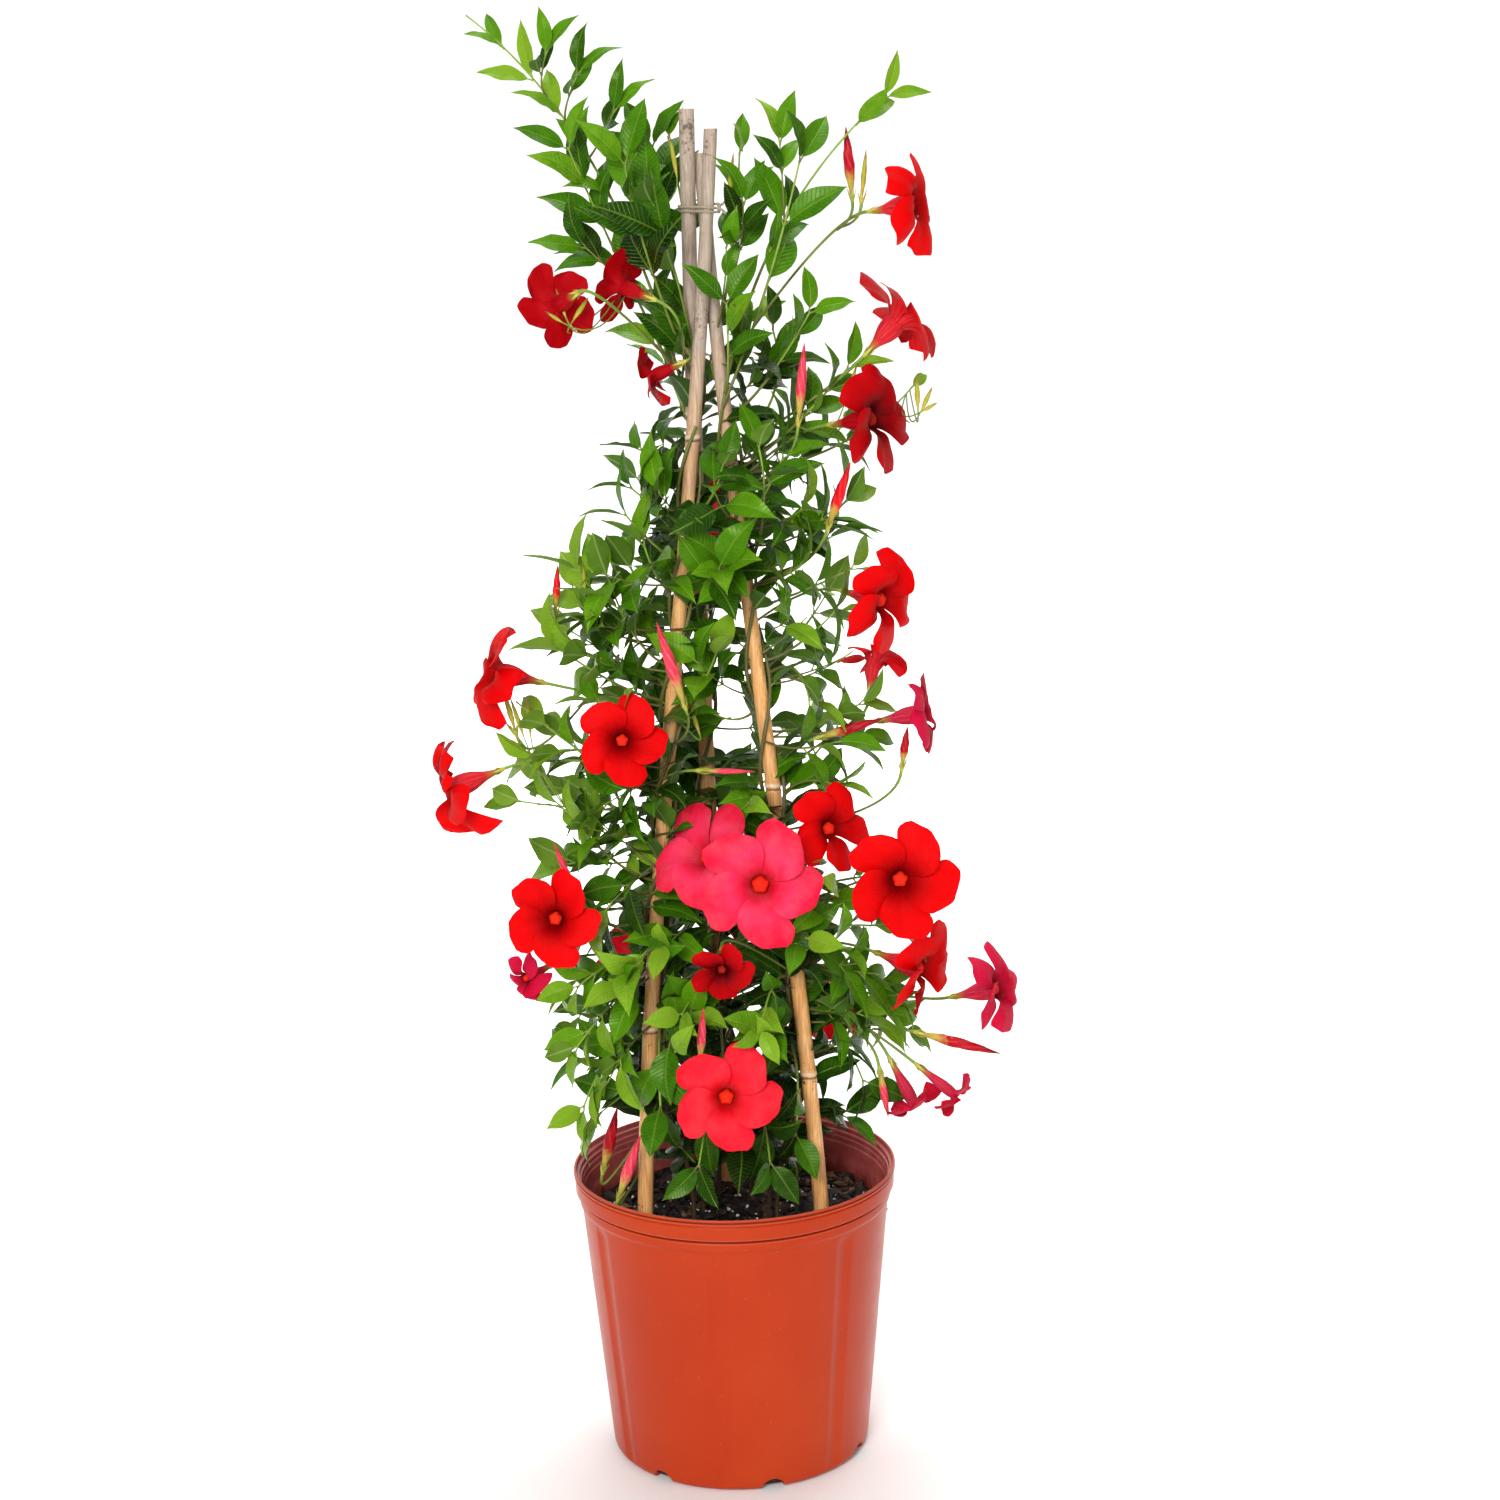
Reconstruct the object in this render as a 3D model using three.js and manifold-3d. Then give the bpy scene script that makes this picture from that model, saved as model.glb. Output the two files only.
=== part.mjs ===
// A red mandevilla grown up a tripod of bamboo canes, in the moulded nursery pot that it was raised in.
// Millimetres, +Z up, origin at the centre of the pot's flat base. +Y is the back of the plant.
import * as THREE from "three";
import { mergeVertices } from "three/addons/utils/BufferGeometryUtils.js";
import Module from "manifold-3d";

const wasm = await Module();
wasm.setup();

// ---------------------------------------------------------------------------------------------
// Driving dimensions
// ---------------------------------------------------------------------------------------------
const CLEARANCE = 0.3; // between a piece and its seat
const POT_HEIGHT = 257.4;
const RIM_RADIUS = 140;
const BASE_RADIUS = 113;
const WALL = 2.1;
const FLOOR = 3;
const FLUTES = 7; // upright grooves moulded into the wall
const FLUTE_DEPTH = 1.5;
const FIRST_FLUTE = -98; // degrees, from +X
const NOTCH_RADIUS = 10.8; // half-round drain holes in the base edge
const NOTCH_AFTER_FLUTE = 21.5; // degrees
const SOIL_TOP = 209;
const CANE_FOOT = 14; // canes are pushed down almost to the pot's floor
const TIE_TOP = 1077.5;
const TIE_TURNS = 2;
const TIE_PITCH = 3.3;
const TWINE_RADIUS = 1.1;
const STEM_RADIUS = 1.9; // corner radius of a three-sided main stem
const SHOOT_RADIUS = 1.35;
const STALK_RADIUS = 1.1;
const LONG_REACH = 150; // a shoot that reaches farther is drawn in more steps
const TWIST_PITCH = 180; // height of one turn of a stem round its cane
const TWIST_GAP = 3.2; // cane's surface to the stem's axis
const STEM_DEPTH = 40; // how far a stem stands in the mix
const BLADE = 0.8; // thickness of leaves and petals
const CALYX_LENGTH = 6.5;
const CALYX_RADIUS = 2.6;
const TUBE_BASE = 1.9; // radius of a flower's tube where it leaves the calyx
const STALK_BEND = 34; // how far before its calyx a long stalk straightens

// Leaves. Angles are in radians and lengths are shares of the leaf's own length.
const LEAF = {
  width: 0.44,
  tipSize: 0.86, // the pair at a shoot's tip, against the pairs below it
  plainUnder: 49, // mm: a leaf shorter than this is a plain lozenge
  firstPair: 0.3, // share of a shoot that is bare
  lastPair: 0.985,
  spread: 0.62, // between a young leaf and its stem
  spreadWithAge: 0.45,
  droop: 0.35,
  turnOfPair: 1.25, // each pair stands nearly across the pair below it
  towardsLight: 0.58,
  towardsFront: 0.2, // added to it at the top, where the light comes from the front
  frontFrom: 850, // height where leaves begin to turn that way
  frontOver: 130,
  feelers: 0.4, // mm kept clear round a leaf
};

const COLOURS = {
  pot: "#c8502d",
  soil: "#2a1d17",
  cane: "#c7a56c",
  twine: "#a79a80",
  leaves: "#3a7a22",
  red: "#dc0a18",
  rose: "#e8304f",
  crimson: "#a80c1c",
  green: "#b9b83c",
};

const NODE_RISE = 1; // a cane's node stands this far proud of it
const NODE_HALF = 4; // half the height of that ring

// Each cane: points on its bent axis [x, y, z], and its radius at the foot and at the top.
const CANES = {
  left: { axis: [[-78, -60, CANE_FOOT], [-65, -47, 430], [-23, -23, 843], [3, -7, 1137]], radius: [7, 5.4] },
  right: { axis: [[80, -60, CANE_FOOT], [65, -51, 350], [21, -22, 784], [-6, 11, 1118]], radius: [7, 5.4] },
  back: { axis: [[2, 94, CANE_FOOT], [-14, 52, 580], [-17, 22, 900], [-16, -2, 1153]], radius: [7, 6.2] },
};
const CANE_NODES = { left: [395, 640, 890], right: [352, 600, 862], back: [420, 668, 905] };

// Each vine: the cane it climbs, the hole it stands in, the height where it reaches the cane,
// its top, and its angle on the cane at z = 0 in degrees.
const VINES = [
  { name: "vine_left_1", cane: "left", hole: [-36, -24], joins: 440, top: 905, angle: 280 },
  { name: "vine_left_2", cane: "left", hole: [-28, 8], joins: 560, top: 880, angle: 100 },
  { name: "vine_right_1", cane: "right", hole: [36, -26], joins: 420, top: 950, angle: 50 },
  { name: "vine_right_2", cane: "right", hole: [30, 6], joins: 520, top: 935, angle: 230 },
  { name: "vine_back_1", cane: "back", hole: [-14, 36], joins: 380, top: 955, angle: 300 },
  { name: "vine_back_2", cane: "back", hole: [14, 38], joins: 500, top: 940, angle: 120 },
];

// Leafy side shoots: the vine and the height where it leaves, bend, tip, pairs of leaves, leaf length,
// how many of its leaves the solid model keeps, and the share of it where the last pair grows, for
// a shoot that ends in a bare tendril.
const SHOOTS = [
  ["back_2", 930, [-80, 20, 1145], [-190, 0, 1230], 5, 46, 3, 0.86],
  ["back_2", 925, [-80, 30, 1040], [-112, -10, 1125], 4, 56, 3],
  ["back_1", 915, [-58, -20, 1040], [-66, -30, 1112], 4, 66, 3],
  ["back_1", 950, [-45, 30, 1050], [-45, 30, 1125], 4, 56, 3],
  ["back_1", 920, [-28, -8, 1035], [-45, -30, 1080], 3, 66, 3],
  ["back_1", 935, [-16, 20, 1060], [-32, 22, 1132], 3, 32, 3],
  ["right_1", 945, [22, 22, 1040], [26, 6, 1118], 3, 44, 3],
  ["right_2", 930, [42, -5, 1075], [145, -10, 1160], 6, 46, 3],
  ["right_2", 925, [14, -32, 940], [12, -32, 1000], 3, 56, 3],
  ["right_1", 905, [42, -15, 925], [80, -15, 990], 4, 46, 3],
  ["right_1", 865, [55, -30, 885], [110, -25, 945], 4, 46, 3],
  ["right_1", 885, [65, 20, 915], [50, 22, 975], 3, 46, 3],
  ["right_1", 860, [115, 30, 865], [165, 15, 925], 3, 26, 3],
  ["left_1", 865, [-42, -22, 862], [-60, -10, 880], 2, 42, 2],
  ["left_1", 830, [-50, -22, 832], [-70, -15, 850], 2, 42, 2],
  ["left_2", 790, [-52, -34, 802], [-75, -30, 830], 2, 46, 3],
  ["left_2", 765, [-52, -42, 775], [-60, -40, 805], 2, 56, 3],
  ["right_1", 810, [30, -48, 825], [55, -40, 875], 3, 50, 3],
  ["right_2", 775, [60, -32, 790], [105, -25, 835], 3, 46, 3],
  ["right_2", 750, [65, -32, 760], [110, -25, 780], 2, 44, 3],
  ["right_2", 790, [45, -52, 840], [35, -58, 885], 2, 50, 3],
  ["left_2", 720, [-80, -32, 725], [-115, -30, 785], 4, 58, 3],
  ["left_1", 705, [-70, -52, 715], [-90, -48, 780], 3, 62, 3],
  ["left_2", 725, [-68, -5, 720], [-72, 0, 780], 3, 54, 3],
  ["left_1", 675, [-80, -52, 685], [-130, -50, 722], 2, 62, 3],
  ["left_2", 605, [-95, -45, 610], [-170, -45, 680], 4, 46, 3],
  ["left_2", 585, [-95, -35, 580], [-170, -45, 595], 3, 44, 2],
  ["left_2", 600, [-90, -10, 595], [-135, 0, 640], 3, 46, 3],
  ["left_2", 630, [-72, -70, 650], [-100, -60, 680], 2, 46, 3],
  ["left_1", 525, [-95, -55, 535], [-130, -60, 590], 4, 34, 3],
  ["left_1", 450, [-100, -75, 430], [-128, -90, 395], 4, 44, 3],
  ["left_2", 415, [-100, -65, 400], [-125, -85, 340], 4, 44, 3],
  ["left_1", 460, [-95, -75, 470], [-125, -100, 450], 3, 44, 3],
  ["left_1", 515, [-95, -80, 525], [-120, -70, 485], 2, 50, 3],
  ["right_1", 705, [62, -22, 710], [95, -30, 745], 2, 48, 3],
  ["right_1", 695, [65, -42, 715], [72, -48, 675], 2, 50, 2],
  ["right_2", 645, [65, -25, 640], [115, -20, 665], 3, 46, 3],
  ["right_2", 595, [65, -45, 612], [90, -55, 605], 2, 44, 2],
  ["right_2", 665, [15, -10, 645], [-8, -20, 660], 2, 50, 2],
  ["right_1", 475, [95, -60, 490], [140, -55, 480], 3, 46, 3],
  ["right_2", 445, [95, -45, 445], [130, -50, 405], 3, 46, 3],
  ["right_2", 425, [92, -30, 395], [112, -40, 340], 2, 50, 2],
  ["right_2", 450, [100, 0, 420], [150, -20, 380], 3, 44, 3],
  ["back_1", 480, [-30, -30, 480], [-52, -105, 485], 3, 46, 2],
  ["back_2", 435, [-15, -35, 450], [-40, -105, 425], 3, 44, 2],
  ["right_1", 440, [35, -85, 455], [24, -118, 415], 3, 40, 2],
  ["left_1", 415, [-62, -90, 400], [-60, -104, 345], 2, 56, 2],
  ["back_2", 360, [-15, -50, 360], [-30, -100, 290], 3, 50, 2],
  ["back_2", 350, [25, -40, 345], [30, -98, 290], 3, 50, 2],
  ["right_2", 380, [60, -75, 370], [52, -72, 305], 2, 50, 2],
  ["left_2", 655, [-20, -60, 680], [-5, -60, 715], 2, 50, 2],
  ["left_2", 825, [0, -52, 845], [5, -62, 870], 2, 48, 2],
  ["back_2", 880, [-25, 75, 900], [-40, 105, 940], 3, 48, 2],
  ["back_2", 900, [10, 65, 930], [30, 90, 975], 3, 46, 2],
  ["back_1", 790, [20, 80, 810], [55, 112, 840], 3, 50, 2],
  ["right_2", 840, [70, 20, 860], [108, 50, 890], 3, 48, 2],
  ["left_1", 800, [-50, 45, 815], [-66, 82, 845], 3, 48, 2],
  ["back_2", 700, [-50, 100, 720], [-85, 128, 750], 3, 50, 2],
  ["right_1", 700, [70, 35, 715], [92, 78, 742], 3, 48, 2],
  ["left_1", 690, [-85, 20, 700], [-128, 55, 720], 3, 48, 2],
  ["back_1", 600, [-45, 110, 610], [-90, 142, 640], 3, 50, 2],
  ["back_1", 590, [25, 112, 600], [75, 145, 620], 3, 50, 2],
  ["right_2", 600, [80, 35, 610], [100, 80, 625], 3, 48, 2],
  ["left_2", 570, [-100, 10, 580], [-152, 50, 590], 3, 48, 2],
  ["back_2", 480, [20, 118, 500], [65, 155, 505], 3, 50, 2],
  ["right_1", 510, [100, 10, 510], [160, 45, 500], 3, 46, 2],
  ["left_1", 470, [-105, 5, 480], [-158, 45, 470], 3, 46, 2],
  ["back_1", 425, [-40, 110, 410], [-80, 142, 385], 3, 46, 2],
  ["back_1", 420, [30, 105, 400], [82, 138, 380], 3, 46, 2],
  ["right_2", 420, [95, 15, 410], [138, 55, 385], 3, 44, 2],
  ["left_1", 445, [-95, 0, 405], [-132, 45, 380], 3, 44, 2],
  ["right_2", 915, [46, -24, 1000], [74, -26, 1112], 3, 60, 4],
];

// Open flowers: centre of the face, the way it faces, width, tube length, colour,
// how far its petals bend back, and what its stalk grows from: a vine at a height, or an earlier
// flower's stalk at a share of its length.
const BLOOMS = [
  ["bloom_top_right", [169, -8, 1073], [0.92, -0.36, 0.12], 88, 38, "red", 0.3, ["right_1", 935]],
  ["bloom_upper_right", [155, -15, 985], [0.7, 0.24, 0.67], 96, 42, "red", 0.25, ["right_1", 880]],
  ["bloom_right_dark", [131, -55, 906], [0.8, -0.58, 0.15], 92, 44, "crimson", 0.15, ["right_1", 855]],
  ["bloom_mid_right", [137, -45, 755], [0.75, -0.65, -0.1], 92, 44, "red", 0.2, ["right_1", 735]],
  ["bloom_mid_right_low", [129, 12, 700], [0.15, 0.53, 0.83], 62, 34, "red", 0.3, ["right_2", 640]],
  ["bloom_right_trumpet", [170, -25, 657], [0.96, -0.19, 0.18], 76, 40, "crimson", 0.35, ["right_2", 610]],
  ["bloom_upper_left", [-123, -54, 1002], [-0.4, 0.82, -0.25], 70, 42, "crimson", 0.1, ["back_2", 940]],
  ["bloom_upper_left_back", [-74, -6, 1014], [-0.77, 0.57, 0.29], 62, 34, "crimson", 0, ["back_2", 935]],
  ["bloom_left_of_canes", [-52, -8, 939], [-0.9, 0.1, -0.4], 54, 28, "crimson", 0.2, ["bloom_upper_left_back", 0.3]],
  ["bloom_mid_left", [-189, -38, 704], [-0.93, -0.23, 0.28], 92, 42, "red", 0.25, ["left_1", 670]],
  ["bloom_left", [-230, -45, 606], [-0.93, -0.23, -0.29], 92, 46, "red", 0.3, ["left_2", 620]],
  ["bloom_left_large", [-82, -85, 653], [0.05, -0.97, 0.2], 78, 40, "red", 0, ["left_1", 640]],
  ["bloom_lower_left", [-142, -110, 511], [-0.25, -0.93, 0.15], 84, 42, "red", 0, ["left_1", 500]],
  ["bloom_lower_left_small", [-172, -65, 447], [-0.68, -0.72, -0.14], 46, 30, "rose", 0.3, ["left_1", 455]],
  ["bloom_centre", [27, -135, 542], [0.02, -0.97, 0.22], 104, 44, "rose", 0, ["right_2", 540]],
  ["bloom_centre_left", [-19, -92, 558], [-0.5, -0.68, 0.52], 98, 42, "rose", 0.15, ["left_1", 540]],
  ["bloom_centre_right", [88, -76, 573], [0.52, -0.8, 0.3], 80, 40, "red", 0.1, ["right_1", 550]],
  ["bloom_right_large", [143, -95, 532], [0.1, -0.97, 0.15], 98, 44, "red", 0, ["right_1", 500]],
  ["bloom_centre_low", [-6, -118, 465], [0, -0.93, -0.25], 54, 32, "crimson", 0, ["right_1", 445]],
  ["bloom_above_pot", [-5, -130, 361], [0.02, -0.97, 0.22], 94, 40, "rose", 0, ["back_2", 400]],
  ["bloom_lower_right", [163, -68, 446], [0.82, -0.53, -0.2], 90, 46, "red", 0.1, ["right_1", 470]],
  ["bloom_far_right", [229, -38, 420], [0.8, -0.5, 0.3], 84, 46, "rose", 0.2, ["right_2", 440]],
  ["bloom_slender", [155, -45, 320], [0.45, -0.24, -0.86], 54, 42, "crimson", 0.2, ["right_2", 435]],
  ["bloom_slender_small", [190, -55, 330], [0.76, -0.27, -0.59], 44, 40, "crimson", 0.2, ["right_2", 430]],
  ["bloom_back_low", [25, 190, 440], [0.1, 0.97, 0.15], 88, 42, "red", 0, ["back_1", 430]],
  ["bloom_back_left", [-84, 150, 400], [-0.4, 0.9, 0.15], 86, 42, "rose", 0.1, ["back_2", 430]],
  ["bloom_back_right", [92, 150, 352], [0.35, 0.92, 0.15], 82, 42, "red", 0.1, ["back_1", 350]],
  ["bloom_back_high", [4, 122, 820], [0.1, 0.95, 0.2], 70, 40, "red", 0.15, ["back_2", 875]],
];

// Furled buds: base, tip, greatest radius, colour, and what the stalk grows from.
const BUDS = [
  ["bud_top_right", [116, 0, 1082], [112, 0, 1136], 4.4, "crimson", ["bloom_top_right", 0.72]],
  ["bud_top_right_green", [124, -4, 1080], [128, -4, 1118], 2.2, "green", ["bloom_top_right", 0.77]],
  ["bud_upper_right_pink", [68, -40, 905], [74, -40, 967], 4.2, "rose", ["right_1", 850]],
  ["bud_right_long", [91, -42, 819], [109, -52, 871], 4.6, "red", ["right_2", 770]],
  ["bud_right_reaching", [81, -32, 640], [134, -34, 655], 4.4, "crimson", ["right_2", 625]],
  ["bud_right_nodding", [149, -30, 614], [154, -30, 647], 3.6, "crimson", ["right_1", 560]],
  ["bud_left_upper", [-135, -30, 753], [-132, -30, 790], 3.2, "red", ["left_1", 700]],
  ["bud_left_pink", [-31, -72, 679], [-51, -92, 751], 5, "rose", ["left_2", 640]],
  ["bud_left_lower", [-128, -72, 528], [-141, -82, 568], 3, "rose", ["left_1", 510]],
  ["bud_far_right", [160, -42, 383], [228, -52, 366], 4.6, "crimson", ["right_1", 395]],
  ["bud_hanging", [126, -44, 350], [132, -52, 312], 3.4, "rose", ["right_2", 410]],
  ["bud_in_pot", [-112, -45, 270], [-98, -52, 328], 5, "crimson", ["left_1", 330]],
  ["bud_in_pot_pink", [-98, -78, 258], [-78, -84, 314], 5, "rose", ["left_2", 330]],
  ["bud_centre_thin", [-18, -62, 621], [26, -80, 623], 2.4, "rose", ["left_2", 610]],
  ["bud_centre_low", [-26, -112, 387], [-22, -122, 436], 3.6, "rose", ["left_1", 380]],
  ["bud_left_green", [-172, -40, 655], [-180, -44, 690], 2.4, "green", ["bloom_mid_left", 0.55]],
];

// ---------------------------------------------------------------------------------------------
// Solids
// ---------------------------------------------------------------------------------------------
// A closed geometry as a manifold-3d solid, turned right side out.
function solidOf(geometry) {
  const bare = new THREE.BufferGeometry();
  const flat = geometry.index ? geometry.toNonIndexed() : geometry;
  bare.setAttribute("position", flat.getAttribute("position"));
  const merged = mergeVertices(bare, 1e-3);
  const triVerts = new Uint32Array(merged.index.array);
  const vertProperties = merged.attributes.position.array;
  const made = new wasm.Manifold(new wasm.Mesh({ numProp: 3, vertProperties, triVerts }));
  if (made.volume() > 0) {
    return made;
  }
  for (let i = 0; i < triVerts.length; i += 3) {
    [triVerts[i + 1], triVerts[i + 2]] = [triVerts[i + 2], triVerts[i + 1]];
  }
  return new wasm.Manifold(new wasm.Mesh({ numProp: 3, vertProperties, triVerts }));
}

// A solid as the geometry of a mesh.
function geometryOf(solid) {
  const { vertProperties, triVerts, numProp } = solid.getMesh();
  const count = vertProperties.length / numProp;
  const positions = new Float32Array(count * 3);
  for (let i = 0; i < count; i += 1) {
    positions.set(vertProperties.subarray(i * numProp, i * numProp + 3), i * 3);
  }
  const geometry = new THREE.BufferGeometry();
  geometry.setAttribute("position", new THREE.BufferAttribute(positions, 3));
  geometry.setIndex(new THREE.BufferAttribute(new Uint32Array(triVerts), 1));
  geometry.computeVertexNormals();
  return geometry;
}

// A closed geometry from points and triangles that index them.
function facets(points, triangles) {
  const geometry = new THREE.BufferGeometry();
  geometry.setAttribute("position", new THREE.Float32BufferAttribute(points.flatMap((p) => p.toArray()), 3));
  geometry.setIndex(triangles.flat());
  return geometry;
}

const UP = new THREE.Vector3(0, 0, 1);
const vector = (list) => new THREE.Vector3(...list);
const radians = THREE.MathUtils.degToRad;

// A straight-sided route through given points, one even share of its length for each segment.
class Route extends THREE.Curve {
  constructor(points) {
    super();
    this.points = points;
  }

  getPoint(share, target = new THREE.Vector3()) {
    const along = share * (this.points.length - 1);
    const first = THREE.MathUtils.clamp(Math.floor(along), 0, this.points.length - 2);
    return target.lerpVectors(this.points[first], this.points[first + 1], along - first);
  }

  getUtoTmapping(share) {
    return share;
  }
}

// A tube of a few flat sides along a route.
function tube(route, radius, sides) {
  const corners = [];
  for (let i = 0; i < sides; i += 1) {
    const angle = (2 * Math.PI * i) / sides;
    corners.push(new THREE.Vector2(radius * Math.cos(angle), radius * Math.sin(angle)));
  }
  const settings = { steps: route.points.length - 1, extrudePath: route, bevelEnabled: false };
  return new THREE.ExtrudeGeometry(new THREE.Shape(corners), settings);
}

// A thin blade that runs to a point at both ends: its pairs of edge points from one end to the other,
// each as distance along, half width and lift.
function blade(length, root, pairs, thickness) {
  const points = [vector([root, 0, 0]), vector([length, 0, -0.05 * length])];
  for (const [along, half, lift] of pairs) {
    for (const z of [lift + thickness / 2, lift - thickness / 2]) {
      points.push(vector([along, -half, z]), vector([along, half, z]));
    }
  }
  const last = 4 * pairs.length - 2;
  const triangles = [[0, 2, 3], [0, 5, 4], [0, 4, 2], [0, 3, 5]];
  triangles.push([last, 1, last + 1], [last + 2, last + 3, 1], [last, last + 2, 1], [last + 1, 1, last + 3]);
  for (let n = 2; n < last; n += 4) {
    const [a, b, c, d] = [n, n + 1, n + 2, n + 3];
    triangles.push([a, a + 4, b + 4], [a, b + 4, b], [c, d, d + 4], [c, d + 4, c + 4]);
    triangles.push([a, c, c + 4], [a, c + 4, a + 4], [b, b + 4, d + 4], [b, d + 4, d]);
  }
  return facets(points, triangles);
}

// Random draws that depend on nothing but the seed.
function randomFrom(seed) {
  let state = seed >>> 0;
  return () => {
    state = (Math.imul(1664525, state) + 1013904223) >>> 0;
    return state / 4294967296;
  };
}

const nodes = new THREE.Group();

function addNode(name, solid, colour, roughness) {
  const material = new THREE.MeshStandardMaterial({ color: COLOURS[colour], roughness, metalness: 0 });
  const mesh = new THREE.Mesh(geometryOf(solid), material);
  mesh.name = name;
  nodes.add(mesh);
}

// ---------------------------------------------------------------------------------------------
// Pot and potting mix
// ---------------------------------------------------------------------------------------------
const HEEL = 6.5; // height where the wall starts
const BODY_TOP = 226; // height where the wall steps out to the band under the rim
const BODY_RADIUS = 133.6; // outside, at the top of the body
const innerWall = (z) => THREE.MathUtils.mapLinear(z, HEEL, BODY_TOP, BASE_RADIUS, BODY_RADIUS) - WALL;

// A turned form whose columns crowd at the flutes, with the body's middle flute column drawn in.
function turnedWithFlutes(profile) {
  const offsets = [-3.2, 0, 3.2, 18.2, 33.2]; // degrees round from each flute
  const perFlute = offsets.length;
  const columns = FLUTES * perFlute;
  const spacing = 360 / FLUTES;
  const geometry = new THREE.LatheGeometry(profile.map(([r, z]) => new THREE.Vector2(r, z)), columns);
  const position = geometry.getAttribute("position");
  for (let i = 0; i < position.count; i += 1) {
    const height = position.getY(i);
    const turn = Math.atan2(position.getX(i), position.getZ(i));
    const column = Math.round((turn / (2 * Math.PI)) * columns + columns) % columns;
    const inFlute = column % perFlute;
    const angle = radians(FIRST_FLUTE + Math.floor(column / perFlute) * spacing + offsets[inFlute]);
    let radius = Math.hypot(position.getX(i), position.getZ(i));
    const onWall = radius > BASE_RADIUS - 13 && height >= HEEL && height <= BODY_TOP;
    if (offsets[inFlute] === 0 && onWall) {
      radius -= FLUTE_DEPTH;
    }
    position.setXYZ(i, radius * Math.cos(angle), radius * Math.sin(angle), height);
  }
  return geometry;
}

function makePot() {
  const outside = [
    [0, 0], [BASE_RADIUS - 7, 0], [BASE_RADIUS, HEEL], [BODY_RADIUS, BODY_TOP], [135.4, 229], [135.4, 236.5],
    [RIM_RADIUS - 0.6, 238], [RIM_RADIUS, 255], [RIM_RADIUS - 1.2, POT_HEIGHT],
  ];
  const inside = [
    [137.2, POT_HEIGHT], [136.4, 250.5], [134.8, 249], [133.2, 237.5], [131.7, 236],
    [innerWall(BODY_TOP), BODY_TOP], [innerWall(HEEL), HEEL], [BASE_RADIUS - 5, FLOOR], [0, FLOOR],
  ];
  let pot = solidOf(turnedWithFlutes([...outside, ...inside]));
  for (let i = 0; i < FLUTES; i += 1) {
    const angle = radians(FIRST_FLUTE + NOTCH_AFTER_FLUTE + (i * 360) / FLUTES);
    const notch = new THREE.CylinderGeometry(NOTCH_RADIUS, NOTCH_RADIUS, 24, 10);
    notch.rotateZ(Math.PI / 2);
    notch.translate(BASE_RADIUS - 1, 0, 0);
    notch.rotateZ(angle);
    pot = pot.subtract(solidOf(notch));
  }
  return pot;
}

// The mix fills the pot to below its rim, a little uneven on top, with a hole for each stem and cane.
function makeSoil(holes) {
  const sideTop = SOIL_TOP - 2;
  const crown = [74, SOIL_TOP + 2];
  const profile = [
    [0, FLOOR + CLEARANCE], [BASE_RADIUS - 7, FLOOR + CLEARANCE], [innerWall(HEEL) - CLEARANCE, HEEL + 2],
    [innerWall(sideTop) - CLEARANCE, sideTop], crown, [0, SOIL_TOP],
  ];
  const geometry = turnedWithFlutes(profile);
  const position = geometry.getAttribute("position");
  for (let i = 0; i < position.count; i += 1) {
    const [x, y, z] = [position.getX(i), position.getY(i), position.getZ(i)];
    if (z > crown[1] - 0.1) {
      position.setZ(i, z + 1.8 * Math.sin(x / 9) * Math.cos(y / 11));
    }
  }
  let soil = solidOf(geometry);
  for (const hole of holes) {
    soil = soil.subtract(hole);
  }
  return soil;
}

// ---------------------------------------------------------------------------------------------
// Canes and their tie
// ---------------------------------------------------------------------------------------------
// The middle of a cane at a height, on the smooth curve through its four axis points.
function caneAxis(name, z) {
  const { axis } = CANES[name];
  const middle = new THREE.Vector3(0, 0, z);
  for (const point of axis) {
    let weight = 1;
    for (const other of axis) {
      if (other !== point) {
        weight *= (z - other[2]) / (point[2] - other[2]);
      }
    }
    middle.x += weight * point[0];
    middle.y += weight * point[1];
  }
  return middle;
}

function caneRadius(name, z) {
  const { axis, radius } = CANES[name];
  return THREE.MathUtils.mapLinear(z, axis[0][2], axis[3][2], radius[0], radius[1]);
}

// A bamboo cane with the raised ring of each node, grown all over by a clearance for its hole.
function makeCane(name, grow = 0) {
  const { axis } = CANES[name];
  const foot = axis[0][2];
  const top = axis[3][2];
  const radiusAt = (z) => caneRadius(name, z) + grow;
  const profile = [[0, foot - grow], [radiusAt(foot), foot - grow]];
  for (const node of CANE_NODES[name]) {
    const [below, above] = [node - NODE_HALF, node + NODE_HALF];
    profile.push([radiusAt(below), below], [radiusAt(node) + NODE_RISE, node], [radiusAt(above), above]);
  }
  profile.push([radiusAt(top), top], [0, top]);
  const geometry = new THREE.LatheGeometry(profile.map(([r, z]) => new THREE.Vector2(r, z)), 8);
  const position = geometry.getAttribute("position");
  for (let i = 0; i < position.count; i += 1) {
    const middle = caneAxis(name, position.getY(i));
    position.setXYZ(i, middle.x + position.getZ(i), middle.y + position.getX(i), position.getY(i));
  }
  return solidOf(geometry);
}

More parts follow.
